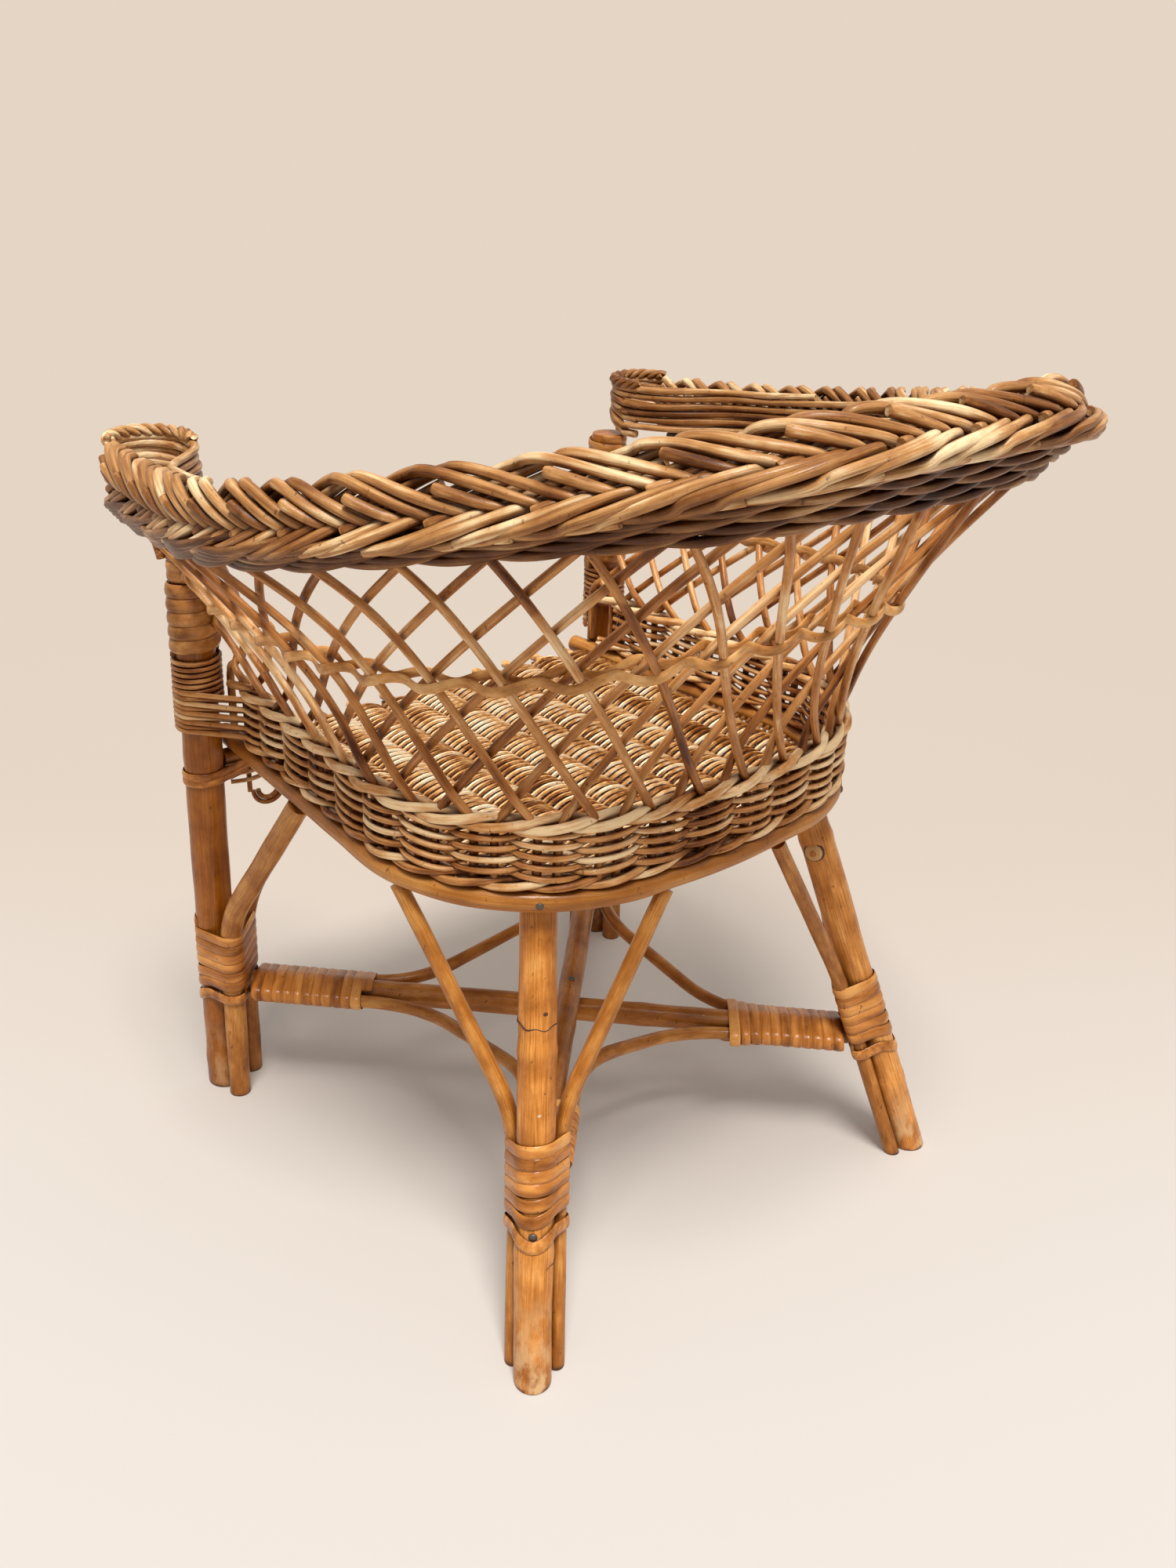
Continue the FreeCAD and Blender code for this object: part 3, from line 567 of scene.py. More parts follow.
def ranged(tree, value, low, high, at_low=0.0, at_high=1.0, smooth=False):
    """A value carried from one range to another, and held at its ends."""
    node = shader(tree, "ShaderNodeMapRange", Value=value, i1=low, i2=high, i3=at_low, i4=at_high)
    if smooth:
        node.interpolation_type = "SMOOTHSTEP"
    return node.outputs[0]


def ramp_node(tree, factor, stops):
    node = shader(tree, "ShaderNodeValToRGB", Fac=factor)
    elements = node.color_ramp.elements
    while len(elements) < len(stops):
        elements.new(0.5)
    for element, (place, colour) in zip(elements, stops):
        element.position = place
        element.color = (*colour, 1)
    return node.outputs["Color"]


def mixed(tree, factor, first, second, blend="MIX"):
    node = tree.nodes.new("ShaderNodeMix")
    node.data_type = "RGBA"
    node.blend_type = blend
    for number, value in ((0, factor), (6, first), (7, second)):
        put(tree, node.inputs[number], (*value, 1) if isinstance(value, tuple) else value)
    return node.outputs[2]


def noise_on(tree, vector, stretch=(1, 1, 1), scale=1.0, detail=3.0, levels=(0.0, 1.0)):
    """Noise from 0 to 1, with its contrast stretched between two levels."""
    turned = shader(tree, "ShaderNodeMapping", Vector=vector, Scale=stretch).outputs[0]
    node = shader(tree, "ShaderNodeTexNoise", Vector=turned, Scale=scale, Detail=detail, Roughness=0.6)
    return ranged(tree, node.outputs["Fac"], *levels)


def either_shader(tree, factor, first, second):
    node = shader(tree, "ShaderNodeMixShader", i0=factor, i1=first.outputs[0], i2=second.outputs[0])
    return node.outputs[0]


def bare_finish(name):
    """A new material with an empty tree."""
    finish = bpy.data.materials.new(name)
    finish.use_nodes = True
    finish.node_tree.nodes.clear()
    return finish, finish.node_tree


def to_surface(tree, socket):
    tree.links.new(socket, tree.nodes.new("ShaderNodeOutputMaterial").inputs["Surface"])


# Materials

bare_wood = (0.74, 0.47, 0.23)
# Colour that crevices are darkened towards: painted shade, with some dark varnish gathered there
crevice_grime_and_shade = (0.16, 0.06, 0.02)
speck_shade = 0.3
foot_height = 0.06


def rod_finish(
        name, stops, cells, roughness, coat, grime_and_shade_share, rod_weight=0.45, grain_share=0.0, stain=0.18,
        worn_foot=0.0, gloom=0.2):
    """Varnished rods: each has its own tone, streaks along its length, specks, and painted shade with some
    dark varnish in its crevices.
    """
    finish, tree = bare_finish(name)
    place = tree.nodes.new("ShaderNodeTexCoord")
    on_rod, in_space = place.outputs["UV"], place.outputs["Object"]
    rod_tone = tree.nodes.new("ShaderNodeAttribute")
    rod_tone.attribute_name = "rod_tone"
    along, around = cells
    stretch = noise_on(tree, on_rod, (along, 0.6, 1), detail=2.0, levels=(0.32, 0.68))
    streak = noise_on(tree, on_rod, (along * 3, around, 1), levels=(0.3, 0.7))
    grain_line = noise_on(tree, on_rod, (along * 2, around * 9, 1), detail=4.0, levels=(0.42, 0.70))
    blotch = noise_on(tree, in_space, scale=60.0, detail=4.0, levels=(0.3, 0.7))
    fine = noise_on(tree, in_space, scale=800.0, detail=2.0)
    speck = noise_on(tree, in_space, (1, 1, 0.6), scale=330.0, detail=2.0, levels=(0.66, 0.74))
    own_tone = (rod_tone.outputs["Fac"], rod_weight)
    tone = weighted(tree, -0.30, own_tone, (stretch, 0.55), (streak, 0.40), (blotch, stain))
    darkest = stops[0][1]
    colour = ramp_node(tree, tone, stops)
    colour = mixed(tree, weighted(tree, 0.0, (grain_line, grain_share)), colour, darkest)
    colour = mixed(tree, weighted(tree, 0.0, (speck, 0.6)), colour, tuple(c * speck_shade for c in darkest))
    if worn_foot:
        height = shader(tree, "ShaderNodeSeparateXYZ", Vector=in_space).outputs[2]
        low = ranged(tree, height, 0.004, foot_height, worn_foot, 0.0)
        scuffed = noise_on(tree, in_space, (1, 1, 0.45), scale=95.0, detail=4.0, levels=(0.46, 0.60))
        colour = mixed(tree, combined(tree, "MULTIPLY", low, scuffed), colour, bare_wood)
    # Painted shade with some dark varnish: the colour darkens where ambient occlusion finds other rods close
    # by
    shade = shader(tree, "ShaderNodeAmbientOcclusion", Distance=0.009)
    shade.samples = 4
    open_to_light = ranged(tree, shade.outputs["AO"], gloom, gloom + 0.6)
    deep = mixed(tree, 1.0, colour, crevice_grime_and_shade, "MULTIPLY")
    colour = mixed(tree, open_to_light, mixed(tree, grime_and_shade_share, colour, deep), colour)
    grain = weighted(tree, 0.0, (streak, 1.0), (fine, 0.4))
    bump = shader(tree, "ShaderNodeBump", Height=grain, Strength=0.4, Distance=0.0006)
    surface = shader(
        tree, "ShaderNodeBsdfPrincipled", Base_Color=colour, Normal=bump.outputs[0],
        Roughness=ranged(tree, streak, 0.0, 1.0, roughness + 0.1, roughness - 0.08),
        Coat_Weight=coat, Coat_Roughness=0.16, Specular_IOR_Level=0.22,
    )
    to_surface(tree, surface.outputs[0])
    return finish


def tones(places, *colours):
    """Stops from the darkest tone of a rod to its palest."""
    return list(zip(places, colours))


even_places = (0.0, 0.35, 0.65, 1.0)
woven = dict(roughness=0.38, coat=0.12, grime_and_shade_share=0.95)
plaited = dict(roughness=0.36, coat=0.15, grime_and_shade_share=0.95)
thick = dict(
    cells=(5, 7), roughness=0.32, coat=0.2, grime_and_shade_share=0.6, rod_weight=0.2, grain_share=0.75, stain=0.34)
flat = dict(roughness=0.34, coat=0.15, rod_weight=0.1)

willow = rod_finish(
    "varnished_willow",
    tones((0.0, 0.25, 0.5, 0.8),
          (0.10, 0.024, 0.002), (0.37, 0.130, 0.027), (0.68, 0.325, 0.105), (0.98, 0.72, 0.41)),
    cells=(14, 6), rod_weight=0.5, **woven,
)
stake_willow = rod_finish(
    "stake_willow",
    tones((0.0, 0.3, 0.6, 0.9),
          (0.09, 0.020, 0.002), (0.35, 0.120, 0.024), (0.64, 0.295, 0.092), (0.98, 0.70, 0.38)),
    cells=(2.6, 6), **woven,
)
dark_willow = rod_finish(
    "dark_willow",
    tones((0.0, 0.35, 0.7, 1.0),
          (0.035, 0.008, 0.001), (0.125, 0.039, 0.008), (0.28, 0.120, 0.035), (0.58, 0.34, 0.15)),
    cells=(20, 6), gloom=0.36, **woven,
)
plait_tones = tones(
    (0.0, 0.28, 0.56, 0.86),
    (0.08, 0.020, 0.003), (0.28, 0.105, 0.024), (0.56, 0.280, 0.098), (0.98, 0.76, 0.45),
)
plait_willow = rod_finish("plait_willow", plait_tones, cells=(12, 7), **plaited)
new_willow = rod_finish("new_plait_willow", plait_tones, cells=(1.8, 7), **plaited)
straw = rod_finish(
    "seat_straw",
    tones((0.0, 0.3, 0.55, 0.8),
          (0.10, 0.024, 0.002), (0.33, 0.115, 0.019), (0.84, 0.46, 0.17), (1.0, 0.86, 0.60)),
    cells=(16, 4), roughness=0.36, coat=0.15, grime_and_shade_share=0.97, gloom=0.36,
)
leg_varnish = rod_finish(
    "leg_varnish",
    tones(even_places, (0.28, 0.080, 0.008), (0.58, 0.210, 0.034), (0.80, 0.330, 0.070), (0.94, 0.49, 0.155)),
    worn_foot=0.8, **thick,
)
# Painted shade: a darker copy of the leg varnish for the front posts, standing in for the shade under the
# arms as well as their darker varnish
post_varnish = rod_finish(
    "post_varnish",
    tones(even_places, (0.18, 0.045, 0.002), (0.36, 0.105, 0.006), (0.48, 0.160, 0.014), (0.62, 0.26, 0.045)),
    worn_foot=0.5, **thick,
)
frame_varnish = rod_finish(
    "frame_rod_varnish",
    tones(even_places, (0.24, 0.072, 0.006), (0.47, 0.170, 0.026), (0.68, 0.300, 0.066), (0.86, 0.50, 0.16)),
    cells=(6, 7), roughness=0.34, coat=0.2, grime_and_shade_share=0.75, rod_weight=0.2, grain_share=0.65,
)
split_cane = rod_finish(
    "split_cane",
    tones(even_places, (0.21, 0.060, 0.007), (0.54, 0.195, 0.035), (0.81, 0.38, 0.100), (0.96, 0.64, 0.27)),
    cells=(9, 4), roughness=0.28, coat=0.25, grime_and_shade_share=0.95, rod_weight=0.1,
)
skein = rod_finish(
    "willow_skein",
    tones(even_places, (0.22, 0.070, 0.010), (0.48, 0.200, 0.050), (0.74, 0.38, 0.130), (0.95, 0.64, 0.30)),
    cells=(14, 4), grime_and_shade_share=0.35, **flat,
)
# Partly painted light: paler than the other skein so that the upright fitching strip, which catches little
# light from above, looks lit like the rods
pale_skein = rod_finish(
    "pale_skein",
    tones(even_places, (0.34, 0.125, 0.022), (0.66, 0.310, 0.090), (0.92, 0.54, 0.21), (1.0, 0.76, 0.42)),
    cells=(30, 4), grime_and_shade_share=0.2, **flat,
)


def plain_finish(name, colour, roughness, metallic=0.0):
    finish, tree = bare_finish(name)
    place = tree.nodes.new("ShaderNodeTexCoord")
    tint = noise_on(tree, place.outputs["Object"], scale=600.0)
    colour = mixed(tree, tint, tuple(c * 0.5 for c in colour), colour)
    surface = shader(
        tree, "ShaderNodeBsdfPrincipled", Base_Color=colour, Roughness=roughness, Metallic=metallic)
    to_surface(tree, surface.outputs[0])
    return finish


nail_iron = plain_finish("nail_iron", (0.16, 0.14, 0.12), 0.5, 0.8)
cut_pith = plain_finish("cut_pith", (0.86, 0.66, 0.40), 0.7)
dark_crack = plain_finish("dark_crack", (0.10, 0.035, 0.010), 0.7)
knot_wood = plain_finish("knot_wood", (0.86, 0.48, 0.17), 0.45)


# Legs, posts and the rods of the underframe

leg_step = 3
top_rounding = (0.90, 0.96, 0.985)
leg_knots = {
    "front_left_post": [(0.10, 0.05), (0.31, 0.03), (0.62, 0.04)],
    "front_right_post": [(0.16, 0.04), (0.44, 0.05)],
    "back_left_leg": [(0.31, 0.06), (0.68, 0.06), (0.71, -0.02)],
    "back_right_leg": [(0.25, 0.04), (0.86, 0.07)],
}


def leg_rod(name, node, axis, top, radius, seed, side, finish):
    """A leg that starts below the floor and is cut off there, with its top edge rounded."""
    start = axis(0) - leg_direction(axis) * (2 * radius)
    end = axis(top)
    points = sided(evenly(start, end, round((end - start).length / leg_step)), side)
    line, radii = grown_rod(
        points, radius, seed, sway=0.7, scale=0.009, taper=0.03, unevenness=0.05, knots=leg_knots[node])
    for k, dip in enumerate(top_rounding):
        radii[-1 - k] *= dip
    piece = rods(name, [(line, radii)], 32)
    cut_at_floor(piece)
    finish_piece(piece, finish, "leg_wood", node)


for side, hand in both_sides:
    leg_rod(f"{hand}_front_post", f"front_{hand}_post", front_post_axis, post_height,
            front_post_radius, side + 3, side, post_varnish)
    leg_rod(f"{hand}_back_leg", f"back_{hand}_leg", back_leg_axis, hoop_height + back_leg_above_hoop,
            back_leg_radius, side + 7, side, leg_varnish)

left_legs = {
    "front": (front_post_axis, front_post_radius, front_brace_radius),
    "back": (back_leg_axis, back_leg_radius, back_brace_radius),
}


def side_direction(axis, towards):
    along = leg_direction(axis)
    pull = towards - axis(0)
    return (pull - along * pull.dot(along)).normalized()


front_plan = Vector((front_foot_half, front_line, 0))
under_hoop = hoop_height - hoop_radius - gap
under_rail = rail_height - rail_radius - gap
back_brace_place = halved_search(
    hoop_length / 4, hoop_length / 2, lambda d: hoop_point(d, 0).x > back_brace_half
)
braces = {
    "front_{}_side_brace": (
        "front", back_foot, hoop_point(hoop_at_depth(side_brace_depth_front), under_hoop),
    ),
    "front_{}_rail_brace": (
        "front", mirrored(front_plan), Vector((rail_brace_half, depth(rail_brace_setback), under_rail)),
    ),
    "back_{}_side_brace": (
        "back", front_plan, hoop_point(hoop_at_depth(side_brace_depth_back), under_hoop),
    ),
    "back_{}_rear_brace": ("back", mirrored(back_foot), hoop_point(back_brace_place, under_hoop)),
}


def brace_line(kind, towards, top):
    axis, leg_radius, radius = left_legs[kind]
    along = leg_direction(axis)
    beside = side_direction(axis, towards) * (leg_radius + gap + radius)
    foot = axis(0) + beside
    foot = foot - along * ((foot.z + 2 * radius) / along.z)
    bend = axis(leg_binding_start) + along * (leg_binding_height + bend_above_binding) + beside
    return rounded_line([foot, bend, top], brace_corner)


for number, (name, (kind, towards, top)) in enumerate(braces.items()):
    for side, hand in both_sides:
        rod = grown_rod(
            sided(brace_line(kind, towards, top), side), left_legs[kind][2], number * 2 + side + 20,
            sway=0.5, scale=0.012, taper=0.06, unevenness=0.06, knots=[(0.35 + 0.05 * number, 0.05)])
        piece = rods(name.format(hand) + "_rod", [rod], 20)
        cut_at_floor(piece)
        finish_piece(piece, frame_varnish, "frame_rod", name.format(hand))


def bundle_circles(kind):
    """The leg and its two braces across the leg, each as (x, y, radius)."""
    axis, leg_radius, radius = left_legs[kind]
    turn = UP.rotation_difference(leg_direction(axis)).inverted()
    circles = [(0.0, 0.0, leg_radius)]
    for brace_kind, towards, _ in braces.values():
        if brace_kind == kind:
            local = turn @ (side_direction(axis, towards) * (leg_radius + gap + radius))
            circles.append((local.x, local.y, radius))
    return circles


def bundle_reach(kind, level):
    turn = UP.rotation_difference(leg_direction(left_legs[kind][0])).inverted()
    local = turn @ level
    return max(x * local.x + y * local.y + r for x, y, r in bundle_circles(kind)) + stretcher_clear


def stretcher_ends(z):
    start = front_post_axis(z)
    end = mirrored(back_leg_axis(z))
    along = (end - start).normalized()
    begin = start + along * bundle_reach("front", along)
    return begin, end - along * bundle_reach("back", Vector((along.x, -along.y, 0)))


lower_stretcher = stretcher_ends(lower_stretcher_height)
upper_stretcher = tuple(mirrored(p) for p in stretcher_ends(upper_stretcher_height))
stretchers = (("lower_stretcher", lower_stretcher, 41), ("upper_stretcher", upper_stretcher, 43))
for name, ends, seed in stretchers:
    rod = grown_rod(
        evenly(*ends, 90), stretcher_radius, seed,
        sway=0.6, scale=0.01, taper=0.05, unevenness=0.05, knots=[(0.27, 0.05), (0.66, 0.06)])
    dress(name + "_rod", [rod], 24, frame_varnish, "frame_rod", name)

back_at_stretcher = back_leg_axis(lower_stretcher_height)
crossing_share = front_foot_half / (front_foot_half + back_at_stretcher.x)
crossing = Vector((0, front_line + (back_at_stretcher.y - front_line) * crossing_share, 0))
front_left_joint = front_post_axis(lower_stretcher_height)
front_right_joint = mirrored(front_post_axis(upper_stretcher_height))
back_left_joint = back_leg_axis(upper_stretcher_height)
back_right_joint = mirrored(back_leg_axis(lower_stretcher_height))


def bow_line(first, second, clear):
    legs = [Vector((leg.x, leg.y, 0)) for leg in (first, second)]
    leads = [(crossing - leg).normalized() for leg in legs]
    away = -(leads[0] + leads[1]).normalized()
    ends = []
    corners = []
    for leg, other, lead, z in zip(legs, reversed(legs), leads, (first.z, second.z)):
        across = other - leg
        across = (across - lead * across.dot(lead)).normalized()
        end = leg + lead * bow_reach + across * bow_beside
        ends.append(end + UP * z)
        corners.append(end + lead * ((clear - (end - crossing).dot(away)) / lead.dot(away)) + UP * z)
    return rounded_line([ends[0], corners[0], corners[1], ends[1]], bow_corner)


bows = {
    "front_bow": (front_left_joint, front_right_joint, bow_front_clear),
    "left_bow": (front_left_joint, back_left_joint, bow_side_clear),
    "right_bow": (front_right_joint, back_right_joint, bow_side_clear),
    "back_bow": (back_left_joint, back_right_joint, bow_back_clear),
}
for seed, (name, run) in enumerate(bows.items()):
    rod = grown_rod(
        bow_line(*run), bow_radius, seed,
        sway=0.5, scale=0.012, taper=0.08, unevenness=0.06, knots=[(0.4, 0.06)], apart=51)
    dress(name + "_rod", [rod], 16, frame_varnish, "frame_rod", name)


# Seat hoop and front rail

hoop_steps = 260
hoop_line = [hoop_point(hoop_length * k / hoop_steps, hoop_height) for k in range(hoop_steps + 1)]
hoop_rod = grown_rod(
    hoop_line, hoop_radius, 61,
    sway=0.5, scale=0.01, taper=0.04, unevenness=0.06, knots=[(0.22, 0.05), (0.43, 0.06), (0.71, 0.05)])
dress("seat_hoop_rod", [hoop_rod], 24, frame_varnish, "hoop_rod", "seat_hoop")
rail_half = front_post_axis(rail_height).x - front_post_radius - gap
rail_end = Vector((rail_half, front_line, rail_height))
rail_line = evenly(rail_end, mirrored(rail_end), 80)
rail_radii = grown_radii(rail_line, rail_radius, 63, taper=0.04, unevenness=0.05, knots=[(0.5, 0.05)])
dress("front_rail_rod", [(rail_line, rail_radii)], 20, frame_varnish, "hoop_rod", "front_seat_rail")


# Split cane bindings

cane_thickness = 1.7
spread_step = 8


def outline_about(circles, out):
    """The line that a tight winding takes about some rods, and its length."""
    steps = 40
    points = []
    for x, y, r in circles:
        for k in range(steps):
            angle = 2 * pi * k / steps
            points.append((x + (r + out) * cos(angle), y + (r + out) * sin(angle)))
    points.sort()

    def half_hull(ordered):
        chain = []
        for p in ordered:
            while len(chain) > 1 and (
                (chain[-1][0] - chain[-2][0]) * (p[1] - chain[-2][1])
                - (chain[-1][1] - chain[-2][1]) * (p[0] - chain[-2][0])
            ) <= 0:
                chain.pop()
            chain.append(p)
        return chain[:-1]

    hull = [Vector((x, y, 0)) for x, y in half_hull(points) + half_hull(points[::-1])]
    total = sum((b - a).length for a, b in zip(hull, hull[1:] + hull[:1]))
    return hull, total


def outline_place(hull, total, share):
    """A point at a share of the way round the outline."""
    distance = (share % 1.0) * total
    for a, b in zip(hull, hull[1:] + hull[:1]):
        length = (b - a).length
        if distance <= length:
            return a.lerp(b, distance / length)
        distance -= length
    return hull[0].copy()


def winding(circles_at, start, turns, pitch, out, seed, droop=None):
    """One cane wound round and round, climbing about the Z axis."""
    steps = 44
    sway_height = 0.45
    first_hull = outline_about(circles_at(start), out)
    line = []
    for k in range(round(turns * steps) + 1):
        turn = k / steps
        z = start + pitch * turn
        hull = first_hull if circles_at(start) == circles_at(z) else outline_about(circles_at(z), out)
        p = outline_place(*hull, turn)
        p.z = z + noise(Vector((turn * 1.7, seed * 3.1, 0.4))) * sway_height
        if droop:
            p.z += droop(p, turn)
        line.append(p)
    return line


def drooping(away, deepest, turns=None):
    """Lets a cane hang down where it faces away from the seat; with turns, less on each turn."""
    def droop(p, turn):
        facing = max(0.0, (p.x * away.x + p.y * away.y) / hypot(p.x, p.y))
        return -deepest * facing ** 2 * (max(0.0, 1 - turn / turns) if turns else 1.0)

    return droop


def placed_winding(name, nodes, lines, width, base, along, side, beside=None, finish=split_cane):
    """A winding made upright, then put on the rods it binds; beside is one more piece of it."""
    piece = strips(name, lines, width, cane_thickness)
    if beside:
        beside.select_set(True)
        bpy.ops.object.join()
    turn = UP.rotation_difference(along).to_matrix().to_4x4()
    turn.translation = base * MM
    settle(piece, turn)
    if side < 0:
        settle(piece, Matrix.Scale(-1, 4, (1, 0, 0)))
        weld(piece)
    return finish_piece(piece, finish, "cane", *nodes)


for kind, seed in (("front", 3), ("back", 9)):
    axis = left_legs[kind][0]
    along = leg_direction(axis)
    circles = bundle_circles(kind)
    away = UP.rotation_difference(along).inverted() @ (axis(0) - crossing).normalized()
    for side, hand in both_sides:
        line = winding(lambda z: circles, start=1.5, turns=6.4, pitch=7.1, out=0.75, seed=side + seed,
                       droop=drooping(away, 6.5, turns=2.6))
        loop = winding(lambda z: circles, start=-5.5, turns=1.1, pitch=1.0, out=0.95, seed=side + 17,
                       droop=drooping(away, 8.5))
        placed_winding(f"{kind}_{hand}_leg_cane", [f"{kind}_{hand}_binding"], [line, loop], 7.3,
                       axis(leg_binding_start), along, side)


def bow_gap(joint, distance):
    """How far the bows have left the stretcher at a distance from its leg."""
    nearby = 4
    near_leg = 170
    spread = bow_beside
    lead = (crossing - Vector((joint.x, joint.y, 0))).normalized()
    for first, second, clear in bows.values():
        if joint in (first, second):
            for p in bow_line(first, second, clear):
                from_leg = Vector((p.x - joint.x, p.y - joint.y, 0))
                run = from_leg.dot(lead)
                if abs(run - distance) < nearby and from_leg.length < near_leg:
                    spread = max(spread, (from_leg - lead * run).length)
    return spread


stretcher_joints = {
    "front_left": (front_left_joint, lower_stretcher[0], lower_stretcher[1], 11.4),
    "front_right": (front_right_joint, upper_stretcher[0], upper_stretcher[1], 11.4),
    "back_left": (back_left_joint, upper_stretcher[1], upper_stretcher[0], 7.4),
    "back_right": (back_right_joint, lower_stretcher[1], lower_stretcher[0], 11.4),
}
for seed, (name, (joint, start, end, turns)) in enumerate(stretcher_joints.items()):
    along = (end - start).normalized()
    across = UP.rotation_difference(along).inverted() @ Vector((-along.y, along.x, 0))
    clear = (start - joint).length
    spreads = {}

    def circles_at(z):
        step = round(z / spread_step) * spread_step
        if step not in spreads:
            spread = bow_gap(joint, step + clear)
            spreads[step] = [(0.0, 0.0, stretcher_radius)] + [
                (across.x * spread * hand, across.y * spread * hand, bow_radius) for hand in (-1, 1)
            ]
        return spreads[step]

    line = winding(circles_at, start=4.0, turns=turns, pitch=6.9, out=0.75, seed=seed + 14)
    placed_winding(f"{name}_stretcher_cane", [f"{name}_stretcher_binding"], [line], 7.2, start, along, 1)

post_along = leg_direction(front_post_axis)
post_circle = [(0.0, 0.0, front_post_radius)]
post_and_rail = post_circle + [(-front_post_radius - rail_radius - 8.0, 0.0, rail_radius * 0.6)]
rail_tie_height = 237.0


def weaver_turns(side):
    """Thin rods wound round a front post beside the band."""
    turns, steps, pitch = 8, 24, 3.7
    line = []
    for k in range(turns * steps):
        angle = 2 * pi * k / steps
        middle = front_post_axis(band_top - 13 + k * pitch / steps)
        out = front_post_radius + 1.9 + 0.3 * noise(Vector((k * 0.07, side, 0)))
        line.append(middle + Vector((out * cos(angle), out * sin(angle), 0)))
    line = sided(line, side)
    return line, grown_radii(line, 1.6, side + 81, unevenness=0.1)


for side, hand in both_sides:
    wide = winding(lambda z: post_circle, start=4.0, turns=5.0, pitch=8.9, out=1.9, seed=side + 31)
    narrow = winding(lambda z: post_circle, start=50.0, turns=7.9, pitch=6.3, out=0.9, seed=side + 35)
    broad_turns = strips("broad_turns", [wide], 9.2, 3.4)
    placed_winding(f"{hand}_post_top_cane", [f"{hand}_post_top_binding"], [narrow], 6.4,
                   front_post_axis(post_binding_start), post_along, side, broad_turns, skein)
    dress(f"{hand}_post_weaver_turns", [weaver_turns(side)], 8, willow, "willow")
    tie = winding(lambda z: post_and_rail, start=0.0, turns=2.3, pitch=4.6, out=0.9, seed=side + 37)
    placed_winding(f"{hand}_rail_tie", [], [tie], 5.0, front_post_axis(rail_tie_height), post_along, side)


# Woven seat

seat_clear = 2
warp_pressed = 0.8
weft_pitch = 2.75
weft_radius = 1.5
weft_pressed = 1.3
weft_step = 4.2
shortest_weft_half = 40
warp_places = [warp_pitch * (k - (warp_count - 1) / 2) for k in range(warp_count)]
apron_line = front_line - rail_radius - gap - apron_rod_radius
leg_in_seat = back_leg_axis(seat_height)


def across_warps(x):
    """A wave that turns over from each warp to the next."""
    return cos(pi * (x - warp_places[0]) / warp_pitch)


warp_rods = []
for k, x in enumerate(warp_places):
    end_y = inner_back(abs(x), hoop_radius + seat_clear)
    if abs(abs(x) - leg_in_seat.x) < back_leg_radius + warp_radius:
        end_y = min(end_y, leg_in_seat.y - back_leg_radius - seat_clear)
    start = Vector((x, apron_line - apron_rod_radius, seat_height))
    line = evenly(start, Vector((x, end_y, seat_height)), 30)
    warp_rods.append(grown_rod(line, warp_radius - warp_pressed, k, sway=0.4, scale=0.012, taper=0.05))
dress("seat_warp_rods", warp_rods, 10, straw, "seat_weave", "seat_warps")


def weft_strand(row, y, half):
    """A strand from side to side of the seat, over one warp and under the next."""
    count = round(2 * half / weft_step)
    side = 1 if row % 2 else -1
    line = []
    for k in range(count + 1):
        x = -half + 2 * half * k / count
        swing = (warp_radius + weft_radius - weft_pressed) * fuller(across_warps(x), 0.75)
        sway = noise(Vector((x * 0.02, row * 2.3, 1.1))) * 0.5
        line.append(Vector((x, y + sway, seat_height + side * swing)))
    radius = weft_radius * (1 + 0.10 * noise(Vector((row * 1.37, 0.3, 0.7))))
    return line, grown_radii(line, radius, row + 100, unevenness=0.08)


weft_rods = []
row = 0
y = front_line + rail_radius + weft_radius
back_edge = depth(hoop_back_depth) - hoop_radius - weft_radius
while y < back_edge:
    half = inner_half(y, hoop_radius + 1.0)
    from_leg = abs(y - leg_in_seat.y)
    if from_leg < back_leg_radius + 1:
        half = min(half, leg_in_seat.x - sqrt((back_leg_radius + 1.5) ** 2 - from_leg ** 2))
    if half > shortest_weft_half:
        weft_rods.append(weft_strand(row, y, half))
    y += weft_pitch
    row += 1
dress("seat_weft_strands", weft_rods, 6, straw, "seat_weave", "seat_weft")


# Apron under the front rail

apron_top = seat_height - warp_radius - gap
apron_swing = 3.6
apron_row_pitch = 2.9
apron_end = warp_places[-1] + warp_pitch / 2
stakes = []
for k, x in enumerate(warp_places):
    line = [Vector((x, apron_line, apron_top - apron_drop * n / 12)) for n in range(13)]
    stakes.append(grown_rod(line, apron_rod_radius, k + 5, sway=0.4, scale=0.02, taper=0.1, apart=-5))
dress("apron_stake_rods", stakes, 8, stake_willow, "willow", "apron_stakes")
apron_rows = []
for row in range(6):
    z = rail_height - rail_radius - 2.6 - row * apron_row_pitch
    line = []
    for k in range(121):
        x = -apron_end + 2 * apron_end * k / 120
        swing = across_warps(x) * (apron_swing if row % 2 else -apron_swing)
        line.append(Vector((x, apron_line + swing, z)))
    apron_rows.append(grown_rod(line, 1.5, row, sway=0.3, scale=0.02, unevenness=0.08, apart=3))
dress("apron_weaver_rods", apron_rows, 8, willow, "willow", "apron_weavers")
scallops = []
for a, b in zip(warp_places, warp_places[1:]):
    for inner in (0.0, 3.6):
        half = (b - a) / 2 - apron_rod_radius - gap - inner
        low = apron_top - apron_drop - gap
        turn = [pi * k / 16 for k in range(17)]
        line = [Vector(((a + b) / 2 - half * cos(t), apron_line, low - half * sin(t))) for t in turn]
        scallops.append((line, grown_radii(line, apron_rod_radius * 0.85, a, unevenness=0.06)))
dress("apron_scallop_rods", scallops, 8, stake_willow, "willow", "apron_scallops")


# Woven band above the hoop

def post_turn(z, side):
    """A weaver's run round the outside of a front post, from its front to the wall."""
    middle = front_post_axis(z)
    reach = front_post_radius + 2.0
    turn = [radians(angle) for angle in range(-160, 36, 12)]
    line = [Vector((middle.x + reach * cos(a), middle.y + reach * sin(a), z)) for a in turn]
    return sided(line, side)


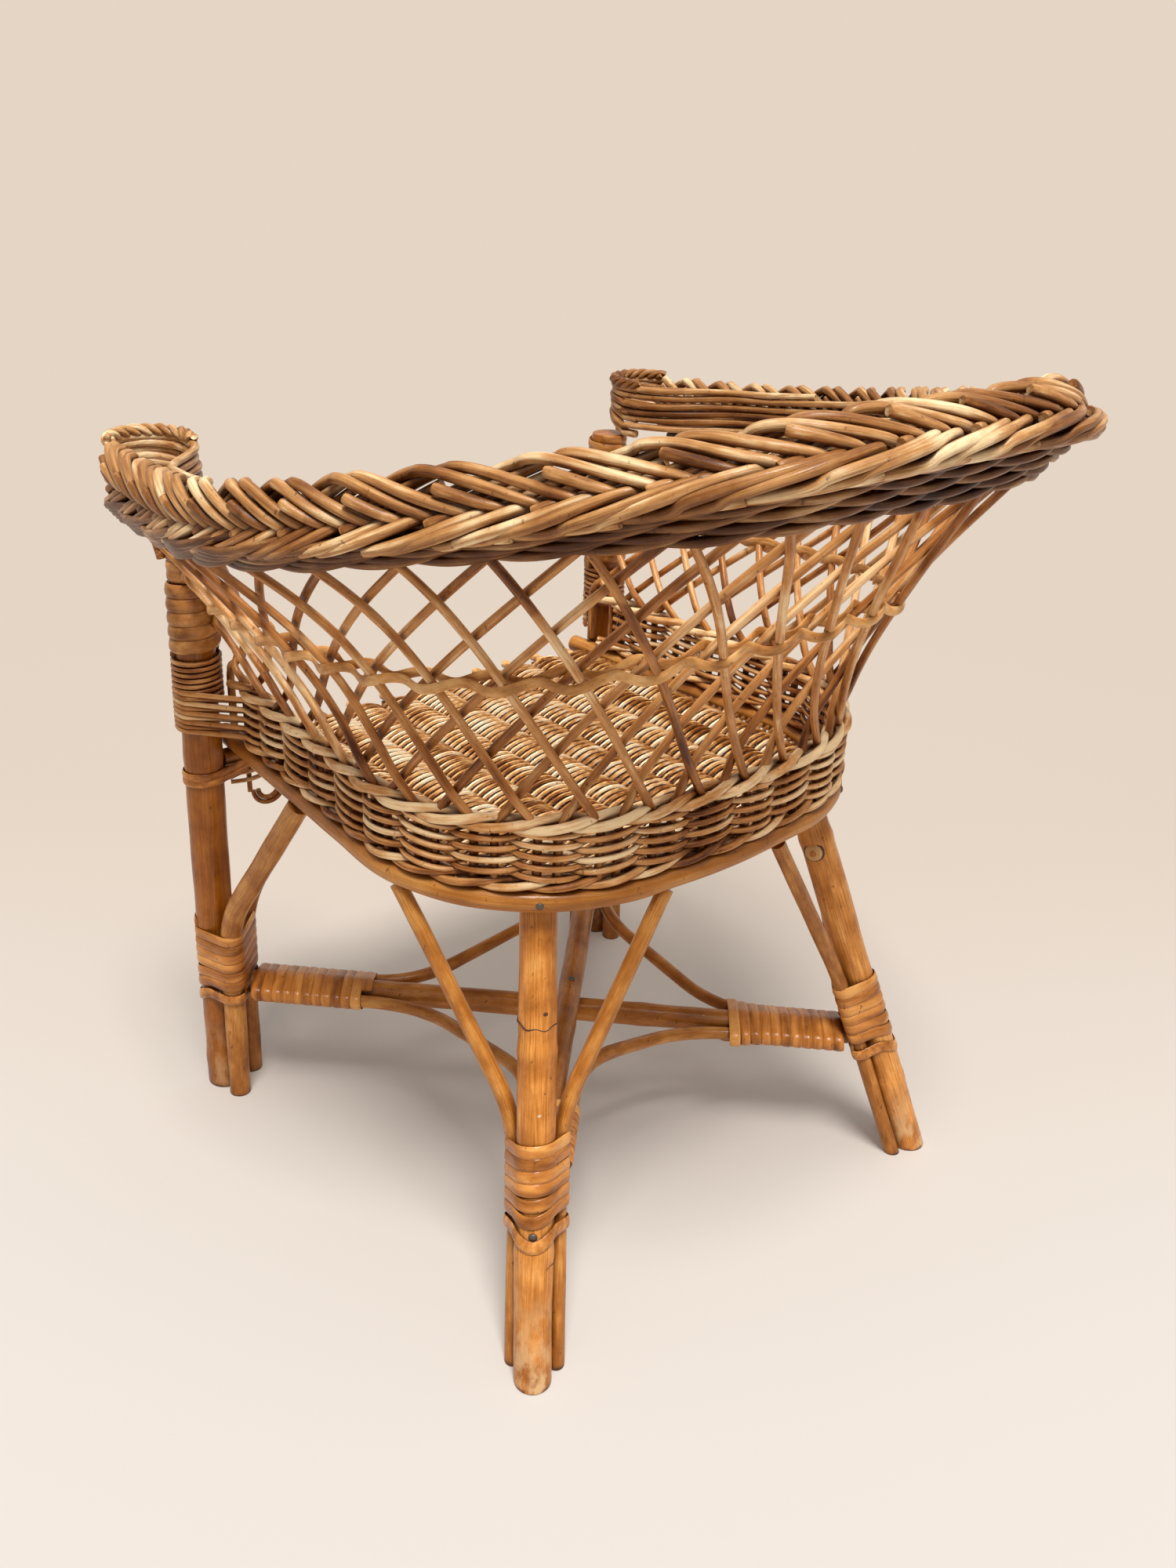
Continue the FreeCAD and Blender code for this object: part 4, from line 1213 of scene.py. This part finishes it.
def swung_row(z, swing, radius, phase, seed):
    """A weaver that goes in and out of the stake pairs, from post to post."""
    count = stake_pairs * 9
    zigzag_height, sway_height = 1.3, 0.9
    line = post_turn(z, 1)
    for k in range(5, count - 4):
        share = k / count
        point, away = band_place(share, z)
        point = point + away * (fuller(sin(pi * (share * stake_pairs + phase)), 0.7) * swing)
        zigzag = abs((share * stake_pairs / 2) % 1 - 0.5) * 4 - 1
        sway = noise(Vector((share * 19, seed * 2.7, 0.2)))
        point.z += zigzag * zigzag_height + sway * sway_height
        line.append(point)
    line += post_turn(z, -1)[::-1]
    return line, grown_radii(line, radius, seed, unevenness=0.12)


def roped_row(middle, strands, across, height, turns, radius, seed):
    """Rods that twist about each other in a long rope; middle gives a place, the way out and the way up."""
    rows = []
    count = 280
    for strand in range(strands):
        line = []
        for k in range(count + 1):
            share = k / count
            point, away, rise = middle(share)
            angle = 2 * pi * (share * turns + strand / strands)
            line.append(point + away * (across * cos(angle)) + rise * (height * sin(angle)))
        rows.append(grown_rod(line, radius, seed + strand, sway=0.5, scale=0.02, unevenness=0.10))
    return rows


def band_rope(z):
    return lambda share: (*band_place(share, z), UP)


band_rows = 9
band_low = band_base + 6.6
band_high = band_top - 4.6
weaver_rods = []
for row in range(band_rows):
    z = band_low + (band_high - band_low) * (row + 0.5) / band_rows
    weaver_rods.append(swung_row(z, stake_radius + 1.8, 1.78, row % 2, row + 200))
dress("band_weaver_rods", weaver_rods, 8, willow, "willow", "band_weavers")
bottom_ropes = roped_row(
    band_rope(band_base + 3.6), strands=3, across=4.8, height=2.0,
    turns=stake_pairs / 2.4, radius=2.2, seed=220)
dress("band_bottom_wale_rods", bottom_ropes, 8, willow, "willow", "band_bottom_wale")
top_ropes = roped_row(
    band_rope(band_top - 1.4), strands=3, across=5.0, height=2.4,
    turns=stake_pairs / 2.6, radius=2.7, seed=230)
dress("band_top_wale_rods", top_ropes, 10, willow, "willow", "band_top_wale")


# Lattice wall

pair_share = 1.0 / stake_pairs
pair_half_share = pair_half / band_length
bend_level = -0.08
post_level = 0.74
share_into_post = 0.024
fewest_levels = 12


def into_post(level):
    """How much of the wall's length the ends of its rods run on into the front posts."""
    return share_into_post if level < post_level else 0.0


def leaned(level):
    """How far over a stake has leaned at a level: it stands upright up to the top wale."""
    return max(level - bend_level, 0.0) / (1 - bend_level)


def lattice_layer(layer, seed):
    """Stakes that lean over from the top wale up: +1 is the outer layer."""
    stakes = []
    shift = -layer * lattice_shift * pair_share
    reach = ceil(lattice_shift)
    for k in range(-reach, stake_pairs + reach):
        foot = pair_share * (k + 0.5) - layer * pair_half_share
        wall_height = wall_middle(min(max(foot, 0), 1), 1).z - wall_base
        lowest = (band_base + 3 - wall_base) / wall_height
        points = []
        for n in range(31):
            level = lowest + (1 - lowest) * n / 30
            share = foot + shift * leaned(level)
            if abs(share - 0.5) <= 0.5 + into_post(level):
                middle, away = wall_place(share, level)
                points.append(middle + away * (layer * layer_offset * min(leaned(level) / 0.1, 1.0)))
        if len(points) < fewest_levels:
            continue
        knots = [(0.2 + 0.6 * ((k * 0.37) % 1), 0.07), (0.1 + 0.8 * ((k * 0.61) % 1), 0.05)]
        stakes.append(grown_rod(
            smooth_line(points, 5), stake_radius - 0.05, k + seed,
            sway=0.8, scale=0.008, taper=0.10, unevenness=0.08, knots=knots))
    return stakes


def fitching_strip(layer, seed):
    """A flat skein that lies over each leaning stake and sinks back on its way to the next."""
    line = []
    count = stake_pairs * 18
    over_end = into_post(fitching_level)
    skein_lift, skein_tilt = 0.7, 0.012
    at_stake = 0.5 - layer * lattice_shift * leaned(fitching_level) - layer * pair_half_share / pair_share
    for k in range(count + 1):
        share = (1 + 2 * over_end) * k / count - over_end
        turn = (share * stake_pairs - at_stake + 0.5) % 1 - 0.5
        over = (0.5 + 0.5 * cos(2 * pi * turn)) ** 0.8
        level = fitching_level + layer * skein_tilt * sin(2 * pi * turn)
        middle, away = wall_place(share, level)
        line.append(middle + away * (layer * (skein_lift + (layer_offset + stake_radius) * over)))
    return wander(line, 0.5, 0.02, seed)


for layer, where, seed in ((1, "outer", 300), (-1, "inner", 340)):
    dress(f"{where}_stakes", lattice_layer(layer, seed), 10, stake_willow, "willow", f"{where}_lattice_rods")
for layer, where, seed in ((1, "outer", 5), (-1, "inner", 6)):
    flat_skein = strips(f"{where}_fitching_skein", [fitching_strip(layer, seed)], 5.4, 1.3)
    finish_piece(flat_skein, pale_skein, "willow", f"{where}_fitching")


def wall_rope(row, pitch, offset):
    """Rows of the upper wale: drawn up behind the plait at the arms, and open at the back."""
    raised_at_arms, lowered_at_back, closed_up = 8.0, 4.5, 0.38

    def middle(share):
        on_back = max(sin(pi * share), 0.0) ** 6
        wall_height = wall_middle(share, 1).z - wall_base
        opened = closed_up + (1 - closed_up) * on_back
        level = 1 + (raised_at_arms - lowered_at_back * on_back - row * pitch * opened) / wall_height
        point, away = wall_place(share, level)
        rise = (wall_middle(share, level) - wall_middle(share, level - 0.02)).normalized()
        return point + away * offset, away, rise

    return middle


upper_wale_rows = 5
outer_ropes = []
inner_ropes = []
for row in range(upper_wale_rows):
    outer_ropes += roped_row(
        wall_rope(row, pitch=6.2, offset=2.6), strands=3, across=4.8, height=2.0,
        turns=stake_pairs / 2.9 + row * 0.3, radius=2.5, seed=400 + row * 10)
    inner_ropes += roped_row(
        wall_rope(row, pitch=6.4, offset=-5.6), strands=2, across=2.2, height=1.7,
        turns=stake_pairs / 2.6, radius=2.4, seed=440 + row * 10)
dress("outer_upper_wale_rods", outer_ropes, 8, dark_willow, "willow", "outer_upper_wale")
dress("inner_upper_wale_rods", inner_ropes, 8, dark_willow, "willow", "inner_upper_wale")


# Plaited rim

plait_half_height = 16.2
plait_half_depth = 5.0
plait_rod_radius = 2.6
plait_strands = 5
plait_back_lean = 65.0
plait_back_drop = 5.0
plait_seam_drop = 0.28
plait_start = 3.0
rod_lag = 0.335
edge_bend = 0.9
arm_chevron = 30.0
back_chevron = 49.0
arm_run = 225
chevron_change_run = 90
turn_steps = 800
turn_table = [0.0]
for k in range(turn_steps):
    from_arm = min(k + 0.5, turn_steps - 0.5 - k) / turn_steps * rim_length
    on_back = eased((from_arm - arm_run) / chevron_change_run)
    chevron = arm_chevron + (back_chevron - arm_chevron) * on_back
    turn_table.append(turn_table[-1] + rim_length / turn_steps / (plait_strands * chevron))


def turns_at(distance):
    """Turns of the plait so far along the rim; its chevrons are longer at the back."""
    place = min(max(distance / rim_length, 0.0), 1.0) * turn_steps
    low = min(int(place), turn_steps - 1)
    return turn_table[low] + (turn_table[low + 1] - turn_table[low]) * (place - low)


def rim_place(distance, high, out):
    """A place in the plait's section, which rolls over outwards towards the back."""
    point, direction = path_place(rim_path, distance)
    away = outward(direction)
    roll = sin(pi * distance / rim_length) ** 2
    lean = radians(plait_back_lean) * roll ** 2
    over = UP * cos(lean) - away * sin(lean)
    face = away * cos(lean) + UP * sin(lean)
    middle = Vector((point.x, point.y, rim_height(point.y) - plait_back_drop * roll))
    return middle + over * high + face * out


def plait_point(distance, strand, lag, lift=0.0):
    """A rod runs from an edge over the face to the middle, then under to the other edge."""
    angle = 2 * pi * (turns_at(distance) + (strand + lag) / plait_strands)
    out = -plait_half_depth * fuller(sin(2 * angle), 0.5)
    high = asin(edge_bend * sin(angle)) / asin(edge_bend)
    high -= plait_seam_drop * (1 - high ** 2)
    return rim_place(distance, plait_half_height * high, out + lift)


plait = []
plait_steps = 560
for strand in range(plait_strands):
    for lag in (-rod_lag, 0.0):
        line = []
        for k in range(plait_steps + 1):
            distance = plait_start + (rim_length - 2 * plait_start) * k / plait_steps
            line.append(plait_point(distance, strand, lag))
        plait.append(grown_rod(
            line, plait_rod_radius + 0.1, 500 + strand * 10 + lag, sway=1.0, scale=0.022, unevenness=0.14))
dress("rim_plait_rods", plait, 10, plait_willow, "plait_willow", "rim_plait")

# On each stroke a new rod starts with a blunt end over the upper half, and its tail backs that half.
# Each part is (first degree, last degree, how far its start is raised)
upper_stroke = (134, 258, 2.6)
tail = (345, 420, 0.0)
shortest_new_rod = 25
new_rod_steps = 50
raised_steps = 20
plain_start = 4
new_rods = []
for chevron in range(-2, round(turn_table[-1] * plait_strands)):
    turns = (chevron - rod_lag) / plait_strands

    def rim_at(degrees):
        wanted = degrees / 360 + turns
        return halved_search(0, rim_length, lambda d: turns_at(d) < wanted)

    for first, last, raised in (upper_stroke, tail):
        start, end = rim_at(first), rim_at(last)
        if end - start < shortest_new_rod:
            continue
        line = []
        for k in range(new_rod_steps + 1):
            lift = raised * max(0.0, 1 - k / raised_steps) if start > plain_start else 0.0
            distance = start + (end - start) * k / new_rod_steps
            line.append(plait_point(distance, -chevron, rod_lag, lift))
        line, radii = grown_rod(
            line, plait_rod_radius + 0.15, chevron + 560,
            sway=0.7, scale=0.022, taper=0.12, unevenness=0.08, apart=-560)
        radii[0] *= 0.86
        new_rods.append((line, radii))
dress("plait_new_rods", new_rods, 10, new_willow, "plait_willow")


# Rolled arm ends

border_rods = 7
border_pitch = 5.2
border_drawn_in = 1.6
border_top = plait_reach - 5.0
cord_top = plait_reach - 1.6
cord_half = 2.1
return_steps = 5
turn_in_steps = 24


def in_and_out(number):
    """How far a rod of the border lies inside its neighbours."""
    return 0.8 * sin(number * 2.1)


def arm_end_line(z, inset, side):
    """A run along the inside of the arm and round its end."""
    start, direction = path_place(rim_path, 0)
    away = outward(direction)
    radius = arm_turn_radius - inset
    inside = start - away * (2 * arm_turn_radius - inset)
    line = [inside + direction * (arm_return * (1 - k / return_steps)) for k in range(return_steps)]
    centre = start - away * arm_turn_radius
    for k in range(turn_in_steps + 1):
        angle = pi * k / turn_in_steps
        line.append(centre - away * (radius * cos(angle)) - direction * (radius * sin(angle)))
    return [Vector((p.x * side, p.y, z)) for p in line]


def border_rod(number, side):
    line = arm_end_line(arm_height + border_top, in_and_out(number), side)
    for n, p in enumerate(line):
        gathered = sin(pi * max(0, n - return_steps) / turn_in_steps) ** 0.7
        p.z -= number * (border_pitch - border_drawn_in * gathered)
    line = line[3:] if number % 2 else line
    return grown_rod(line, 2.6, number + 600, sway=0.8, scale=0.03, unevenness=0.1)


def cord_strand(strand, side):
    """One of the three strands of the cord on top of the border."""
    base = arm_end_line(arm_height + cord_top, 0.0, side)
    base = smooth_line(base[::3] + base[-1:], 2)
    middle = sum(base, Vector()) / len(base)
    line = []
    for k, p in enumerate(base):
        angle = 2 * pi * (k * 2 / 21 + strand / 3)
        inwards = Vector((middle.x - p.x, middle.y - p.y, 0)).normalized()
        line.append(p + inwards * (cord_half * cos(angle)) + UP * (cord_half * sin(angle)))
    return line, grown_radii(line, 2.0, strand + 620, unevenness=0.08)


def lining_rod(number, side):
    """A rod that comes round the arm end and runs back along the inside of the plait."""
    shortest, longer_by, veer_run, sinks = 130.0, 21.0, 70, 3.0
    reach = shortest + longer_by * ((number * 3) % 5)
    turned_in = 2 * arm_turn_radius - in_and_out(number)
    behind_plait = 13.0
    steps = 40
    line = []
    for k in range(-3, steps + 1):
        run = reach * k / steps
        on_rim, along = path_place(rim_path, arm_return + run)
        inside = turned_in + (behind_plait - turned_in) * eased(run / veer_run)
        z = rim_height(on_rim.y) + border_top - border_pitch * number - sinks * run / reach
        place = on_rim - outward(along) * inside
        line.append(Vector((place.x * side, place.y, z)))
    return grown_rod(line, 2.5, number + 600, sway=0.8, scale=0.03, taper=0.2, unevenness=0.1, apart=40)


for side, hand in both_sides:
    border = [border_rod(number, side) for number in range(border_rods)]
    border += [cord_strand(strand, side) for strand in range(3)]
    dress(f"{hand}_arm_end_rods", border, 10, new_willow, "plait_willow", f"{hand}_arm_end_border")
for side, hand in both_sides:
    lining = [lining_rod(number, side) for number in range(border_rods - 1)]
    dress(f"{hand}_arm_lining_rods", lining, 10, new_willow, "plait_willow")


# Stays under the arm ends

for side, hand in both_sides:
    low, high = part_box(f"{hand}_arm_stay")
    top = Vector((high[0] if side > 0 else low[0], low[1], high[2])) * 1000
    foot = Vector((low[0] if side > 0 else high[0], high[1], low[2])) * 1000
    inset = Vector((3 * side, -3, 0))
    line = smooth_line([foot + inset, foot.lerp(top, 0.5) + Vector((1.0 * side, 0, 0)), top - inset], 4)
    stay = (line, grown_radii(line, 2.9, side + 70, taper=0.05))
    dress(f"{hand}_arm_stay_rod", [stay], 12, willow, "willow", f"{hand}_arm_stay")


# Nails, and marks on the back legs

def nail(name, place, direction, radius, finish=nail_iron):
    """A flat round head that faces a direction."""
    select_none()
    bpy.ops.mesh.primitive_uv_sphere_add(segments=14, ring_count=8, radius=radius * MM, location=(0, 0, 0))
    head = bpy.context.object
    head.name = name
    bpy.ops.transform.resize(value=(1, 1, 0.45))
    bpy.ops.object.shade_smooth()
    turn = UP.rotation_difference(direction).to_matrix().to_4x4()
    turn.translation = place * MM
    settle(head, turn @ head.matrix_world)
    return finish_piece(head, finish, "leg_wood")


nail_radius = 2.3
for side, hand in both_sides:
    away = Vector((inward_lean.x * -side, -inward_lean.y, 0))
    on_hoop = Vector((nearest_hoop.x * side, nearest_hoop.y, hoop_height)) + away * (hoop_radius - 0.2)
    nail(f"{hand}_hoop_nail", on_hoop, away, nail_radius)
crossing_top = upper_stretcher_height + stretcher_radius - 0.3
nail("crossing_nail", Vector((0, crossing.y, crossing_top)), UP, nail_radius)


def on_leg(side, z, turn, sink):
    """A place on a back leg's surface, turned about it from straight back, and the way out there."""
    away = Matrix.Rotation(radians(turn), 3, "Z") @ Vector((0, 1, 0))
    middle = back_leg_axis(z)
    return Vector((middle.x * side, middle.y, z)) + away * (back_leg_radius - sink), away


def crack_ring(name, z, side):
    """A dark crack round a leg, at one of its growth rings."""
    steps, first_turn, whole_turn = 32, -170, 260
    line = []
    radii = []
    for k in range(steps + 1):
        turn = k * whole_turn / steps + first_turn
        line.append(on_leg(side, z + 0.7 * sin(k * 0.9), turn, 0.1)[0])
        radii.append(0.25 + 0.3 * sin(pi * k / steps))
    dress(name, [(line, radii)], 8, dark_crack, "leg_wood")


knot_height = 221.0
knot_turn = -64
crack_ring("left_leg_upper_crack", 191.7, 1)
crack_ring("left_leg_lower_crack", 64.8, 1)
crack_ring("right_leg_crack", 58.0, -1)
nail("left_leg_hole", *on_leg(1, 199.4, -15, 0.2), 1.7, dark_crack)
nail("left_leg_peg", *on_leg(1, 84.0, -42, -0.6), 2.6)
nail("right_leg_knot_ring", *on_leg(-1, knot_height, knot_turn, 1.5), 6.9, dark_crack)
nail("right_leg_knot", *on_leg(-1, knot_height, knot_turn, 0.4), 6.0, knot_wood)
nail("right_leg_knot_heart", *on_leg(-1, knot_height, knot_turn, -1.6), 2.6, leg_varnish)
nail("left_leg_scuff", *on_leg(1, 145.8, -28, 1.2), 3.4, cut_pith)


# Floor, light and camera

backdrop_colour = (0.783, 0.665, 0.558)
near_colour = (0.895, 0.825, 0.755)
floor_light = (1.47, 1.45, 1.41)


def studio_floor():
    """A floor that is paler near the chair and fades into the backdrop."""
    select_none()
    bpy.ops.mesh.primitive_plane_add(size=120, location=(0, 0, -0.0004))
    floor = bpy.context.object
    floor.name = "studio_floor"
    finish, tree = bare_finish("studio_floor")
    place = tree.nodes.new("ShaderNodeTexCoord").outputs["Object"]
    apart = shader(tree, "ShaderNodeSeparateXYZ", Vector=place)
    nearness = weighted(tree, 0.0, (apart.outputs[0], 0.65), (apart.outputs[1], 0.76))
    pale = ranged(tree, nearness, -0.55, 0.32, smooth=True)
    from_chair = shader(tree, "ShaderNodeVectorMath", i0=place)
    from_chair.operation = "LENGTH"
    reach = from_chair.outputs["Value"]
    near = ranged(tree, reach, 1.0, 3.0, 1.0, 0.0, smooth=True)
    seen_colour = mixed(tree, combined(tree, "MULTIPLY", pale, near), backdrop_colour, near_colour)
    lit_colour = mixed(tree, 1.0, seen_colour, tuple(1 / light for light in floor_light), "MULTIPLY")
    ground = shader(tree, "ShaderNodeBsdfDiffuse", Color=lit_colour)
    distant = shader(tree, "ShaderNodeEmission", Color=seen_colour)
    far = ranged(tree, reach, 0.5, 1.3, at_low=0.15, smooth=True)
    to_surface(tree, either_shader(tree, far, ground, distant))
    floor.data.materials.append(finish)


def studio_world():
    """Soft light all round; the backdrop's colour is seen, also in reflections."""
    world = bpy.data.worlds.new("studio")
    bpy.context.scene.world = world
    world.use_nodes = True
    tree = world.node_tree
    tree.nodes.clear()
    rays = tree.nodes.new("ShaderNodeLightPath").outputs
    light = shader(tree, "ShaderNodeBackground", Color=(1.0, 0.99, 0.97, 1), Strength=0.17)
    backdrop = shader(tree, "ShaderNodeBackground", Color=(*backdrop_colour, 1), Strength=1.0)
    looked_at = rays["Is Camera Ray"]
    for ray in ("Is Glossy Ray", "Is Transmission Ray"):
        looked_at = combined(tree, "MAXIMUM", looked_at, rays[ray])
    out = tree.nodes.new("ShaderNodeOutputWorld")
    tree.links.new(either_shader(tree, looked_at, light, backdrop), out.inputs[0])


def sun(name, towards, strength, spread, colour):
    data = bpy.data.lights.new(name, "SUN")
    data.energy = strength
    data.angle = radians(spread)
    data.color = colour
    holder = bpy.data.objects.new(name, data)
    bpy.context.collection.objects.link(holder)
    holder.rotation_euler = (-Vector(towards)).to_track_quat("-Z", "Y").to_euler()


def camera_like_photo():
    azimuth = radians(139.29)
    elevation = radians(25.86)
    roll = radians(2.15)
    distance = 0.88776
    target = Vector((0, (185.98 + front_line) * MM, 0.25925))
    level = cos(elevation)
    back = Vector((sin(azimuth) * level, -cos(azimuth) * level, sin(elevation)))
    right = (-back).cross(UP).normalized()
    up = right.cross(-back)
    across = right * cos(roll) + up * sin(roll)
    over = up * cos(roll) - right * sin(roll)
    data = bpy.data.cameras.new("photo_view")
    data.lens = 32.44
    data.sensor_width = 36
    data.clip_end = 200
    holder = bpy.data.objects.new("photo_view", data)
    bpy.context.collection.objects.link(holder)
    turn = Matrix((across, over, back)).transposed().to_4x4()
    turn.translation = target + back * distance
    holder.matrix_world = turn
    bpy.context.scene.camera = holder


studio_floor()
studio_world()
sun("key_sun", (0.20, 0.33, 1.0), 3.7, 20, (1.0, 0.98, 0.94))
sun("sky_sun", (-0.1, 0.1, 1.0), 0.8, 100, (1.0, 1.0, 1.0))
camera_like_photo()
bpy.context.scene.view_settings.view_transform = "Standard"
